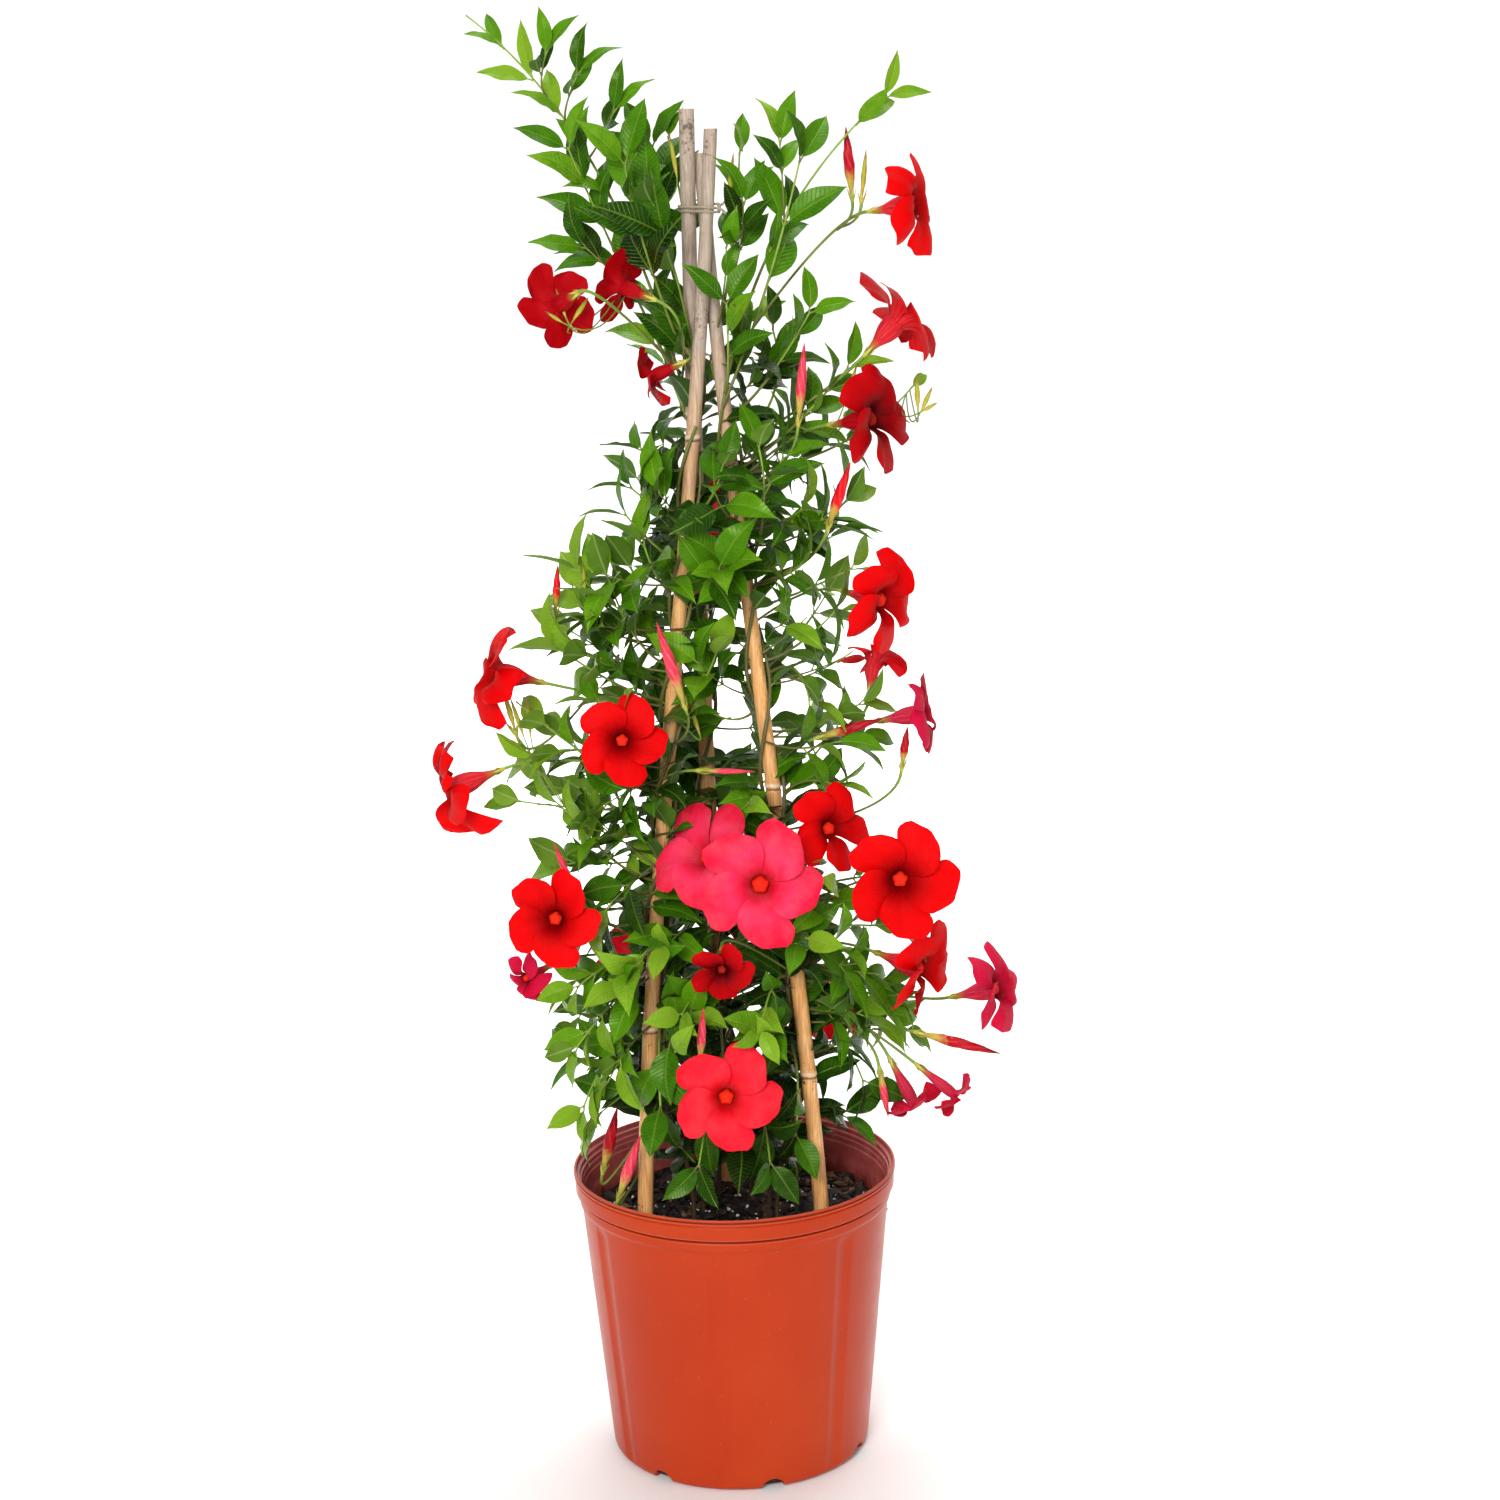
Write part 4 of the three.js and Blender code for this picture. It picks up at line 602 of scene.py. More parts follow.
# Side shoots: the vine and the height where each leaves it, its bend and tip, its pairs of leaves,
# leaf length, and where along it the last pair grows, if that isn't LAST_PAIR.
SHOOTS = [
    ("back_2", 930, (-80, 20, 1145), (-190, 0, 1230), 5, 46, 0.86),
    ("back_2", 925, (-80, 30, 1040), (-112, -10, 1125), 4, 56),
    ("back_1", 915, (-58, -20, 1040), (-66, -30, 1112), 4, 66),
    ("back_1", 950, (-45, 30, 1050), (-45, 30, 1125), 4, 56),
    ("back_1", 920, (-28, -8, 1035), (-45, -30, 1080), 3, 66),
    ("back_1", 935, (-16, 20, 1060), (-32, 22, 1132), 3, 32),
    ("right_1", 945, (22, 22, 1040), (26, 6, 1118), 3, 44),
    ("right_2", 930, (42, -5, 1075), (145, -10, 1160), 6, 46),
    ("right_2", 925, (14, -32, 940), (12, -32, 1000), 3, 56),
    ("right_1", 905, (42, -15, 925), (80, -15, 990), 4, 46),
    ("right_1", 865, (55, -30, 885), (110, -25, 945), 4, 46),
    ("right_1", 885, (65, 20, 915), (50, 22, 975), 3, 46),
    ("right_1", 860, (115, 30, 865), (165, 15, 925), 3, 26),
    ("left_1", 865, (-42, -22, 862), (-60, -10, 880), 2, 42),
    ("left_1", 830, (-50, -22, 832), (-70, -15, 850), 2, 42),
    ("left_2", 790, (-52, -34, 802), (-75, -30, 830), 2, 46),
    ("left_2", 765, (-52, -42, 775), (-60, -40, 805), 2, 56),
    ("right_1", 810, (30, -48, 825), (55, -40, 875), 3, 50),
    ("right_2", 775, (60, -32, 790), (105, -25, 835), 3, 46),
    ("right_2", 750, (65, -32, 760), (110, -25, 780), 2, 44),
    ("right_2", 790, (45, -52, 840), (35, -58, 885), 2, 50),
    ("left_2", 720, (-80, -32, 725), (-115, -30, 785), 4, 58),
    ("left_1", 705, (-70, -52, 715), (-90, -48, 780), 3, 62),
    ("left_2", 725, (-68, -5, 720), (-72, 0, 780), 3, 54),
    ("left_1", 675, (-80, -52, 685), (-130, -50, 722), 2, 62),
    ("left_2", 605, (-95, -45, 610), (-170, -45, 680), 4, 46),
    ("left_2", 585, (-95, -35, 580), (-170, -45, 595), 3, 44),
    ("left_2", 600, (-90, -10, 595), (-135, 0, 640), 3, 46),
    ("left_2", 630, (-72, -70, 650), (-100, -60, 680), 2, 46),
    ("left_1", 525, (-95, -55, 535), (-130, -60, 590), 4, 34),
    ("left_1", 450, (-100, -75, 430), (-128, -90, 395), 4, 44),
    ("left_2", 415, (-100, -65, 400), (-125, -85, 340), 4, 44),
    ("left_1", 460, (-95, -75, 470), (-125, -100, 450), 3, 44),
    ("left_1", 515, (-95, -80, 525), (-120, -70, 485), 2, 50),
    ("right_1", 705, (62, -22, 710), (95, -30, 745), 2, 48),
    ("right_1", 695, (65, -42, 715), (72, -48, 675), 2, 50),
    ("right_2", 645, (65, -25, 640), (115, -20, 665), 3, 46),
    ("right_2", 595, (65, -45, 612), (90, -55, 605), 2, 44),
    ("right_2", 665, (15, -10, 645), (-8, -20, 660), 2, 50),
    ("right_1", 475, (95, -60, 490), (140, -55, 480), 3, 46),
    ("right_2", 445, (95, -45, 445), (130, -50, 405), 3, 46),
    ("right_2", 425, (92, -30, 395), (112, -40, 340), 2, 50),
    ("right_2", 450, (100, 0, 420), (150, -20, 380), 3, 44),
    ("back_1", 480, (-30, -30, 480), (-52, -105, 485), 3, 46),
    ("back_2", 435, (-15, -35, 450), (-40, -105, 425), 3, 44),
    ("right_1", 440, (35, -85, 455), (24, -118, 415), 3, 40),
    ("left_1", 415, (-62, -90, 400), (-60, -104, 345), 2, 56),
    ("back_2", 360, (-15, -50, 360), (-30, -100, 290), 3, 50),
    ("back_2", 350, (25, -40, 345), (30, -98, 290), 3, 50),
    ("right_2", 380, (60, -75, 370), (52, -72, 305), 2, 50),
    ("left_2", 655, (-20, -60, 680), (-5, -60, 715), 2, 50),
    ("left_2", 825, (0, -52, 845), (5, -62, 870), 2, 48),
    ("back_2", 880, (-25, 75, 900), (-40, 105, 940), 3, 48),
    ("back_2", 900, (10, 65, 930), (30, 90, 975), 3, 46),
    ("back_1", 790, (20, 80, 810), (55, 112, 840), 3, 50),
    ("right_2", 840, (70, 20, 860), (108, 50, 890), 3, 48),
    ("left_1", 800, (-50, 45, 815), (-66, 82, 845), 3, 48),
    ("back_2", 700, (-50, 100, 720), (-85, 128, 750), 3, 50),
    ("right_1", 700, (70, 35, 715), (92, 78, 742), 3, 48),
    ("left_1", 690, (-85, 20, 700), (-128, 55, 720), 3, 48),
    ("back_1", 600, (-45, 110, 610), (-90, 142, 640), 3, 50),
    ("back_1", 590, (25, 112, 600), (75, 145, 620), 3, 50),
    ("right_2", 600, (80, 35, 610), (100, 80, 625), 3, 48),
    ("left_2", 570, (-100, 10, 580), (-152, 50, 590), 3, 48),
    ("back_2", 480, (20, 118, 500), (65, 155, 505), 3, 50),
    ("right_1", 510, (100, 10, 510), (160, 45, 500), 3, 46),
    ("left_1", 470, (-105, 5, 480), (-158, 45, 470), 3, 46),
    ("back_1", 425, (-40, 110, 410), (-80, 142, 385), 3, 46),
    ("back_1", 420, (30, 105, 400), (82, 138, 380), 3, 46),
    ("right_2", 420, (95, 15, 410), (138, 55, 385), 3, 44),
    ("left_1", 445, (-95, 0, 405), (-132, 45, 380), 3, 44),
    ("right_2", 915, (46, -24, 1000), (74, -26, 1112), 3, 60),
]

# Open flowers: the middle of the face, the way it faces, width, tube length, colour, how far the
# petals bend back, and what the stalk grows from: a vine at a height, or a share of a stalk.
BLOOMS = [
    ("bloom_top_right", (169, -8, 1073), (0.92, -0.36, 0.12), 88, 38, "red", 0.3, ("right_1", 935)),
    ("bloom_upper_right", (155, -15, 985), (0.7, 0.24, 0.67), 96, 42, "red", 0.25, ("right_1", 880)),
    ("bloom_right_dark", (131, -55, 906), (0.8, -0.58, 0.15), 92, 44, "crimson", 0.15, ("right_1", 855)),
    ("bloom_mid_right", (137, -45, 755), (0.75, -0.65, -0.1), 92, 44, "red", 0.2, ("right_1", 735)),
    ("bloom_mid_right_low", (129, 12, 700), (0.15, 0.53, 0.83), 62, 34, "red", 0.3, ("right_2", 640)),
    ("bloom_right_trumpet", (170, -25, 657), (0.96, -0.19, 0.18), 76, 40, "crimson", 0.35, ("right_2", 610)),
    ("bloom_upper_left", (-123, -54, 1002), (-0.4, 0.82, -0.25), 70, 42, "crimson", 0.1, ("back_2", 940)),
    ("bloom_upper_left_back", (-74, -6, 1014), (-0.77, 0.57, 0.29), 62, 34, "crimson", 0, ("back_2", 935)),
    ("bloom_left_of_canes", (-52, -8, 939), (-0.9, 0.1, -0.4), 54, 28, "crimson", 0.2,
     ("bloom_upper_left_back", 0.3)),
    ("bloom_mid_left", (-189, -38, 704), (-0.93, -0.23, 0.28), 92, 42, "red", 0.25, ("left_1", 670)),
    ("bloom_left", (-230, -45, 606), (-0.93, -0.23, -0.29), 92, 46, "red", 0.3, ("left_2", 620)),
    ("bloom_left_large", (-82, -85, 653), (0.05, -0.97, 0.2), 78, 40, "red", 0, ("left_1", 640)),
    ("bloom_lower_left", (-142, -110, 511), (-0.25, -0.93, 0.15), 84, 42, "red", 0, ("left_1", 500)),
    ("bloom_lower_left_small", (-172, -65, 447), (-0.68, -0.72, -0.14), 46, 30, "rose", 0.3, ("left_1", 455)),
    ("bloom_centre", (27, -135, 542), (0.02, -0.97, 0.22), 104, 44, "rose", 0, ("right_2", 540)),
    ("bloom_centre_left", (-19, -92, 558), (-0.5, -0.68, 0.52), 98, 42, "rose", 0.15, ("left_1", 540)),
    ("bloom_centre_right", (88, -76, 573), (0.52, -0.8, 0.3), 80, 40, "red", 0.1, ("right_1", 550)),
    ("bloom_right_large", (143, -95, 532), (0.1, -0.97, 0.15), 98, 44, "red", 0, ("right_1", 500)),
    ("bloom_centre_low", (-6, -118, 465), (0, -0.93, -0.25), 54, 32, "crimson", 0, ("right_1", 445)),
    ("bloom_above_pot", (-5, -130, 361), (0.02, -0.97, 0.22), 94, 40, "rose", 0, ("back_2", 400)),
    ("bloom_lower_right", (163, -68, 446), (0.82, -0.53, -0.2), 90, 46, "red", 0.1, ("right_1", 470)),
    ("bloom_far_right", (229, -38, 420), (0.8, -0.5, 0.3), 84, 46, "rose", 0.2, ("right_2", 440)),
    ("bloom_slender", (155, -45, 320), (0.45, -0.24, -0.86), 54, 42, "crimson", 0.2, ("right_2", 435)),
    ("bloom_slender_small", (190, -55, 330), (0.76, -0.27, -0.59), 44, 40, "crimson", 0.2, ("right_2", 430)),
    ("bloom_back_low", (25, 190, 440), (0.1, 0.97, 0.15), 88, 42, "red", 0, ("back_1", 430)),
    ("bloom_back_left", (-84, 150, 400), (-0.4, 0.9, 0.15), 86, 42, "rose", 0.1, ("back_2", 430)),
    ("bloom_back_right", (92, 150, 352), (0.35, 0.92, 0.15), 82, 42, "red", 0.1, ("back_1", 350)),
    ("bloom_back_high", (4, 122, 820), (0.1, 0.95, 0.2), 70, 40, "red", 0.15, ("back_2", 875)),
]

# Furled buds: base, tip, greatest radius, colour, and what the stalk grows from.
BUDS = [
    ("bud_top_right", (116, 0, 1082), (112, 0, 1136), 4.4, "crimson", ("bloom_top_right", 0.72)),
    ("bud_top_right_green", (124, -4, 1080), (128, -4, 1118), 2.2, "green", ("bloom_top_right", 0.77)),
    ("bud_upper_right_pink", (68, -40, 905), (74, -40, 967), 4.2, "rose", ("right_1", 850)),
    ("bud_right_long", (91, -42, 819), (109, -52, 871), 4.6, "red", ("right_2", 770)),
    ("bud_right_reaching", (81, -32, 640), (134, -34, 655), 4.4, "crimson", ("right_2", 625)),
    ("bud_right_nodding", (149, -30, 614), (154, -30, 647), 3.6, "crimson", ("right_1", 560)),
    ("bud_left_upper", (-135, -30, 753), (-132, -30, 790), 3.2, "red", ("left_1", 700)),
    ("bud_left_pink", (-31, -72, 679), (-51, -92, 751), 5, "rose", ("left_2", 640)),
    ("bud_left_lower", (-128, -72, 528), (-141, -82, 568), 3, "rose", ("left_1", 510)),
    ("bud_far_right", (160, -42, 383), (228, -52, 366), 4.6, "crimson", ("right_1", 395)),
    ("bud_hanging", (126, -44, 350), (132, -52, 312), 3.4, "rose", ("right_2", 410)),
    ("bud_in_pot", (-112, -45, 270), (-98, -52, 328), 5, "crimson", ("left_1", 330)),
    ("bud_in_pot_pink", (-98, -78, 258), (-78, -84, 314), 5, "rose", ("left_2", 330)),
    ("bud_centre_thin", (-18, -62, 621), (26, -80, 623), 2.4, "rose", ("left_2", 610)),
    ("bud_centre_low", (-26, -112, 387), (-22, -122, 436), 3.6, "rose", ("left_1", 380)),
    ("bud_left_green", (-172, -40, 655), (-180, -44, 690), 2.4, "green", ("bloom_mid_left", 0.55)),
]
CALYX_LENGTH, STALK_BEND, GAP = 6.5, 34.0, 0.3


def unit(v):
    """A vector at length one."""
    return np.asarray(v, float) / np.linalg.norm(v)


def stem_point(vine, z):
    """Where a main stem is at a height: straight up from its hole, then over to its cane and round it."""
    t = min(max((z - STEM_START) / (vine["joins"] - STEM_START), 0), 1)
    angle = math.radians(vine["angle"]) + 2 * math.pi * z / TWIST_PITCH
    outward = np.array([math.cos(angle), math.sin(angle), 0])
    on_cane = cane_axis(vine["cane"], z) + outward * (cane_radius(vine["cane"], z) + TWIST_GAP)
    over_hole = np.array([*vine["hole"], z])
    return over_hole + (on_cane - over_hole) * t * t * (3 - 2 * t)


def stem_route(vine):
    """The main stem in the steps of the solid part, which side shoots and stalks start from."""
    steps = round((vine["top"] - STEM_START) / 20)
    heights = [STEM_START + (vine["top"] - STEM_START) * i / steps for i in range(1, steps + 1)]
    foot = [np.array([*vine["hole"], z]) for z in (STEM_FOOT, STEM_START)]
    return np.array(foot + [stem_point(vine, z) for z in heights])


def at_height(route, z):
    """The point of a climbing route at a height."""
    return np.array([np.interp(z, route[:, 2], route[:, k]) for k in range(3)])


def at_share(route, share):
    """The point of a route at a share of its steps."""
    along = min(max(share, 0.0), 1.0) * (len(route) - 1)
    first = min(int(along), len(route) - 2)
    return route[first] + (route[first + 1] - route[first]) * (along - first)


def bent_route(start, bend, tip, steps):
    """Points on the curve of one bend."""
    start, bend, tip = (np.array(p, float) for p in (start, bend, tip))
    shares = np.linspace(0, 1, steps + 1)
    return np.array([start * (1 - t) ** 2 + bend * 2 * t * (1 - t) + tip * t * t for t in shares])


routes = {name: stem_route(vine) for name, vine in VINES.items()}
flowers = []
for name, face, direction, width, length, colour, bend_back, parent in BLOOMS:
    forward = unit(direction)
    flowers.append((name, np.array(face) - forward * length, forward, parent))
for name, base, tip, radius, colour, parent in BUDS:
    flowers.append((name, np.array(base, float), unit(np.subtract(tip, base)), parent))
stalks = {}
for name, foot, forward, (parent, share) in flowers:
    end = foot - forward * (GAP + CALYX_LENGTH)
    vine, start = (stalks[parent][0], at_share(stalks[parent][1], share)) if parent in stalks else (
        parent, at_height(routes[parent], share))
    bend = end - forward * STALK_BEND * min(1, np.linalg.norm(start - end) / 70)
    stalks[name] = (vine, bent_route(start, bend, end, 3), (start, bend, end), foot, forward)
shoots, spurs = [], []
for name, height, bend, tip, *_ in SHOOTS:
    start = at_height(routes[name], height)
    reach = np.linalg.norm(start - tip)
    steps = 6 if reach > 150 else 3 if reach > 75 else 2
    shoots.append((name, bent_route(start, bend, tip, steps), (start, bend, tip), reach))

# Young stem: corky and brown where it is oldest, smooth olive above, fresh green at the tips, with
# fine ridges along it and a slight wax gloss.
stem_skin, tree, out = start_material("vine_stem_bark_to_green")
where = add(tree, "TexCoord").outputs["Object"]
youth = add(tree, "Attribute", attribute_name="youth").outputs["Fac"]
mottle = add(tree, "TexNoise", {"Vector": where, "Scale": 320, "Detail": 5, "Roughness": 0.65})
aged = add(tree, "Math", {0: mottle, 1: 0.3, 2: youth}, operation="MULTIPLY_ADD")
shade = add(tree, "ValToRGB", {"Fac": aged}, [
    (0.12, "#33241a"), (0.38, "#544426"), (0.62, "#66652c"), (0.9, "#708a2e"), (1.0, "#83a03a")])
ridge = add(tree, "Bump", {"Height": mottle, "Strength": 0.6, "Distance": 0.0004})
skin = add(tree, "BsdfPrincipled", {
    "Base Color": shade, "Roughness": 0.52, "Normal": ridge, "IOR": 1.45})
tree.links.new(skin.outputs[0], out.inputs[0])


def stem_mesh(name):
    """All the stems of one vine: the main stem, then its side shoots and stalks, each tapered."""
    vine = VINES[name]
    points, faces, youths = [], [], []

    def grow(path, radii, youth, sides):
        more = sweep(path, radii, sides, len(points))
        points.extend(more[0])
        faces.extend(more[1])
        youths.extend(np.repeat(youth, sides))

    heights = np.arange(STEM_FOOT, vine["top"] + 1, 6.0)
    share = (heights - STEM_FOOT) / (heights[-1] - STEM_FOOT)
    swelling = 0.35 * np.exp(-((heights % 45 - 22) / 5) ** 2)
    grow([stem_point(vine, z) for z in heights], 2.15 - 0.95 * share + swelling, 0.05 + 0.5 * share, 8)
    for owner, route, (start, bend, tip), reach in shoots:
        if owner == name:
            path = bent_route(start, bend, tip, max(8, int(reach / 9)))
            share = np.linspace(0, 1, len(path))
            knuckle = 0.18 * np.cos(share * 5 * 2 * math.pi) ** 8
            youth = 0.35 + 0.55 * share + 0.1 * (start[2] > 800)
            grow(path, 1.4 - 0.7 * share + knuckle, youth, 6)
    for owner, (start, bend, tip) in spurs:
        if owner == name:
            share = np.linspace(0, 1, 9)
            grow(bent_route(start, bend, tip, 8), 1.05 - 0.5 * share, 0.3 + 0.5 * share, 6)
    for owner, route, (start, bend, end), foot, forward in stalks.values():
        if owner == name:
            path = bent_route(start, bend, end, max(8, int(np.linalg.norm(start - end) / 7)))
            path = np.concatenate([path, [end + forward * 2.0]])
            share = np.linspace(0, 1, len(path))
            grow(path, 1.1 + 0.45 * share ** 3, 0.45 + 0.4 * share, 7)
    return points, faces, youths


# ----------------------------------------------------------
# The leaves: opposite pairs of glossy pointed blades on short petioles, folded a little along the
# midrib, dark and leathery low down, small and yellow-green at the shoots' tips; their colour also
# carries painted shade low down and deep inside the plant, and painted light on the outer ones.
LEAF_TURNS = [
    (0, 0), (0.4, 0), (-0.4, 0), (0, -0.3), (0.8, 0), (-0.8, 0), (0.4, -0.35), (-0.4, -0.35),
    (1.2, 0), (-1.2, 0), (1.6, -0.2), (-1.6, -0.2), (0, 0.35), (2.2, 0), (-2.2, 0)]
PETIOLE, LEAF_HALF, LEAF_THICKNESS = 0.11, 0.225, 0.5
STATIONS = np.array([0, 0.03, 0.08, 0.16, 0.26, 0.37, 0.49, 0.61, 0.72, 0.82, 0.9, 0.96, 1])
OUTLINE = np.array([0.05, 0.2, 0.43, 0.7, 0.9, 0.99, 0.98, 0.87, 0.68, 0.44, 0.21, 0.07, 0.012])
ACROSS = np.array([-1, -0.64, -0.28, 0, 0.28, 0.64, 1])
LAST = (len(STATIONS) - 1, len(ACROSS) - 1)
FIRST_PAIR, LAST_PAIR = 0.3, 0.985  # where along a side shoot its pairs of leaves grow


def leaf_pose(route, share, pair, side, age, turn, draws):
    """Where a leaf springs, and the directions along it, across it and out of its upper face."""
    at, near = at_share(route, share), min(max(share, 0.01), 0.99)
    along = unit(at_share(route, near + 1e-4) - at_share(route, near - 1e-4))
    outward = unit((at[0], at[1], 0))
    across = np.cross(along, outward)
    if np.linalg.norm(across) < 0.2:
        across = np.cross(along, (0, 0, 1))
    across = unit(across)
    upward = np.cross(across, along)
    around = 0.3 + 1.25 * (pair % 2) + math.pi * side + 0.5 * (draws[0] - 0.5) + turn[0]
    high = min(max((at[2] - 850) / 130, 0), 1)
    spread = 0.62 + 0.45 * age * (1 - 0.5 * high) + 0.25 * (draws[1] - 0.5) + turn[1]
    sideways = across * math.cos(around) + upward * math.sin(around)
    x = unit(along * math.cos(spread) + sideways * math.sin(spread) - (0, 0, 0.35 * age * draws[2]))
    sky, front = outward * 0.75 + (0, 0, 0.65), outward * 0.3 + (0, -0.85, 0.4)
    light, weight = unit(sky * (1 - high) + front * high), 0.58 + 0.2 * high
    z = (1 - weight) * (along * math.sin(spread) - sideways * math.cos(spread)) + weight * light
    z = unit(z - x * (z @ x))
    return at, x, np.cross(z, x), z


def seeded_draws(seed, count):
    """The draws between 0 and 1 that shape one leaf or flower, here and in the solid part."""
    state, draws = seed, []
    for _ in range(count):
        state = (1664525 * state + 1013904223) % 2 ** 32
        draws.append(state / 2 ** 32)
    return draws


def packed_points(name):
    """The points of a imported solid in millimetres."""
    return [v.co * 1000 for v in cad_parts[name].data.vertices]


solid_tips = {}
for name in VINES:
    points = packed_points("vine_" + name)
    solid_tips[name] = KDTree(len(points))
    for i, point in enumerate(points):
        solid_tips[name].insert(point, i)
    solid_tips[name].balance()

hard_points, hard_faces = [], []
for name in [row[0] for row in BLOOMS + BUDS] + ["cane_" + name for name in CANES]:
    start = len(hard_points)
    hard_points += packed_points(name)
    hard_faces += [[start + i for i in face.vertices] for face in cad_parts[name].data.polygons]
hard = BVHTree.FromPolygons(hard_points, hard_faces)

# Open flowers, buds and the bare lengths of cane push forward between the leaves: no loose leaf
# stands in the way of them on the plant's front side.
FRONT = np.array([0.0, -2319.0, 1132.0])
# Gaps that one can see right through: no loose leaf grows before or behind them (x and height).
SEE_THROUGH = [(49, 991), (101, 658), (127, 769), (99, 771), (6, 671), (6, 640), (70, 739), (38, 1024),
               (118, 842), (-139, 309), (-147, 575), (-84, 804), (76, 1017), (85, 1078), (91, 1103),
               (-134, 1135), (62, 664), (-101, 796)]
# Lengths of cane that stay bare: the cane, from and to.
BARE_CANES = (("left", 215, 310), ("left", 365, 455), ("right", 215, 435), ("right", 598, 735),
              ("left", 850, 1137), ("right", 915, 1118), ("back", 1000, 1153))
open_spots = []
for name, face, direction, width, length, *_ in BLOOMS:
    if name.startswith("bloom_back"):
        continue  # on the far side, where leaves may hide it from the front
    forward = unit(direction)
    open_spots.append((np.array(face), 0.47 * width))
    open_spots += [(np.array(face) - forward * length * t, 5 + 0.1 * width) for t in (0.35, 0.7, 1.0)]
for name, base, tip, radius, *_ in BUDS:
    open_spots += [(np.array(base) + np.subtract(tip, base) * t, radius + 5) for t in (0, 0.33, 0.66, 1)]
for cane, low, high in BARE_CANES:
    open_spots += [(cane_axis(cane, z), 9.0) for z in range(low, high, 8)]
spot_depths = [0.0] * len(open_spots) + [-np.inf] * len(SEE_THROUGH)
open_spots += [(np.array([x, 0, z]), 13.0) for x, z in SEE_THROUGH]
spot_places = np.array([place for place, radius in open_spots])
spot_radii = np.array([radius for place, radius in open_spots])
spot_lines = FRONT - spot_places
spot_lines /= np.linalg.norm(spot_lines, axis=1)[:, None]
leaves, leaf_samples = [], []


def room_for(pose, length):
    """Distance from a leaf's sample points to flowers, buds, canes and other leaves, and the points.

    The distance is 0 if the leaf would hide a flower, a bud, a bare cane or a gap."""
    at, x, y, z = pose
    spots = [(0.3, 0), (0.5, 0.2), (0.5, -0.2), (0.55, 0), (0.8, 0.14), (0.8, -0.14), (1, 0)]
    samples = np.array([at + length * (a * x + b * y) for a, b in spots])
    away = samples[:, None] - spot_places[None]
    ahead = (away * spot_lines[None]).sum(2)
    beside = np.linalg.norm(away - ahead[..., None] * spot_lines[None], axis=2)
    if ((ahead > np.array(spot_depths)[None]) & (beside < spot_radii[None])).any():
        return 0, samples
    clear = min(hard.find_nearest(Vector(p))[3] for p in samples)
    if leaf_samples:
        others = np.concatenate(leaf_samples)
        clear = min(clear, np.linalg.norm(samples[1:, None] - others[None], axis=2).min())
    return clear, samples


def add_leaf(name, pose, length, tone, looseness, samples):
    """Keeps one leaf for its vine."""
    leaves.append((name, pose, length, min(max(tone, 0), 1), looseness))
    leaf_samples.append(samples)


def try_leaf(name, route, share, pair, side, age, length, tone, chance, room=4.0):
    """Grows a loose leaf where it finds room, turning it a few ways first."""
    upright = 0.24 * min(max((at_share(route, share)[2] - 880) / 120, 0), 1)
    for around, spread in LEAF_TURNS[:9]:
        draws = [chance.random() for _ in range(3)]
        pose = leaf_pose(route, share, pair, side, age, (around, spread - upright), draws)
        clear, samples = room_for(pose, length)
        tip = samples[-1]
        sparse = 790 < tip[2] < 965 and tip[0] < -58
        too_far = samples[:, 1].min() < 1000 * cad_box[0][1] - 4
        if clear > room and samples[:, 2].min() > SOIL_TOP + 6 and not (sparse or too_far):
            add_leaf(name, pose, length, tone, 1.0, samples)
            return 1
    return 0


def tone_at(point, age, chance):
    """How young and well lit a leaf is: 0 old and shaded, 1 fresh."""
    axis = cane_axis("back", point[2])
    out = min(max((np.hypot(*(point[:2] - axis[:2])) - 45) / 130, 0), 1)
    shaded = np.interp(point[2], (250, 330, 460, 560, 780, 880, 1130),
                       (0.2, 0.14, 0.1, -0.05, -0.07, 0.05, 0.05))
    sunny = np.interp(point[2], (850, 1040), (0.42, 0.25))
    if point[0] > -90:
        shaded += np.interp(point[2], (280, 320, 360, 400), (0.42, 0.32, 0.16, 0.0))
    return 0.2 + 0.26 * (1 - age) + sunny * out - shaded + chance.gauss(0, 0.13 if point[2] < 850 else 0.16)


# Leaves that the solid part has come first, each just where it stands there.
FRESH = {("left_2", 605), ("left_1", 525), ("left_1", 450), ("left_2", 415), ("left_2", 720),
         ("back_2", 930), ("back_2", 925), ("right_2", 930), ("right_1", 945), ("back_1", 935),
         ("right_1", 860)}
leaf_chance = random.Random(5)
kept = set()
for index, (row, (name, route, bend, reach)) in enumerate(zip(SHOOTS, shoots)):
    pairs, length, last = *row[4:6], (row[6] if len(row) > 6 else LAST_PAIR)
    for pair in (pairs - 1, pairs - 2):
        for side in (0, 1):
            share, age = FIRST_PAIR + (last - FIRST_PAIR) * (pair + 1) / pairs, 1 - pair / (pairs - 1)
            size = length * (0.86 if pair == pairs - 1 else 1)
            for turn in LEAF_TURNS:
                draws = seeded_draws(index * 977 + pair * 131 + side * 17 + 5, 3)
                pose = leaf_pose(route, share, pair, side, age, turn, draws)
                tip = pose[0] + size * (pose[1] - 0.05 * pose[3])
                if solid_tips[name].find(Vector(tip))[2] < 0.05:
                    tone = tone_at(tip, age, leaf_chance) + 0.2 * ((name, row[1]) in FRESH)
                    add_leaf(name, pose, size, tone, 0.35, room_for(pose, size)[1])
                    kept.add((index, pair, side))
                    break

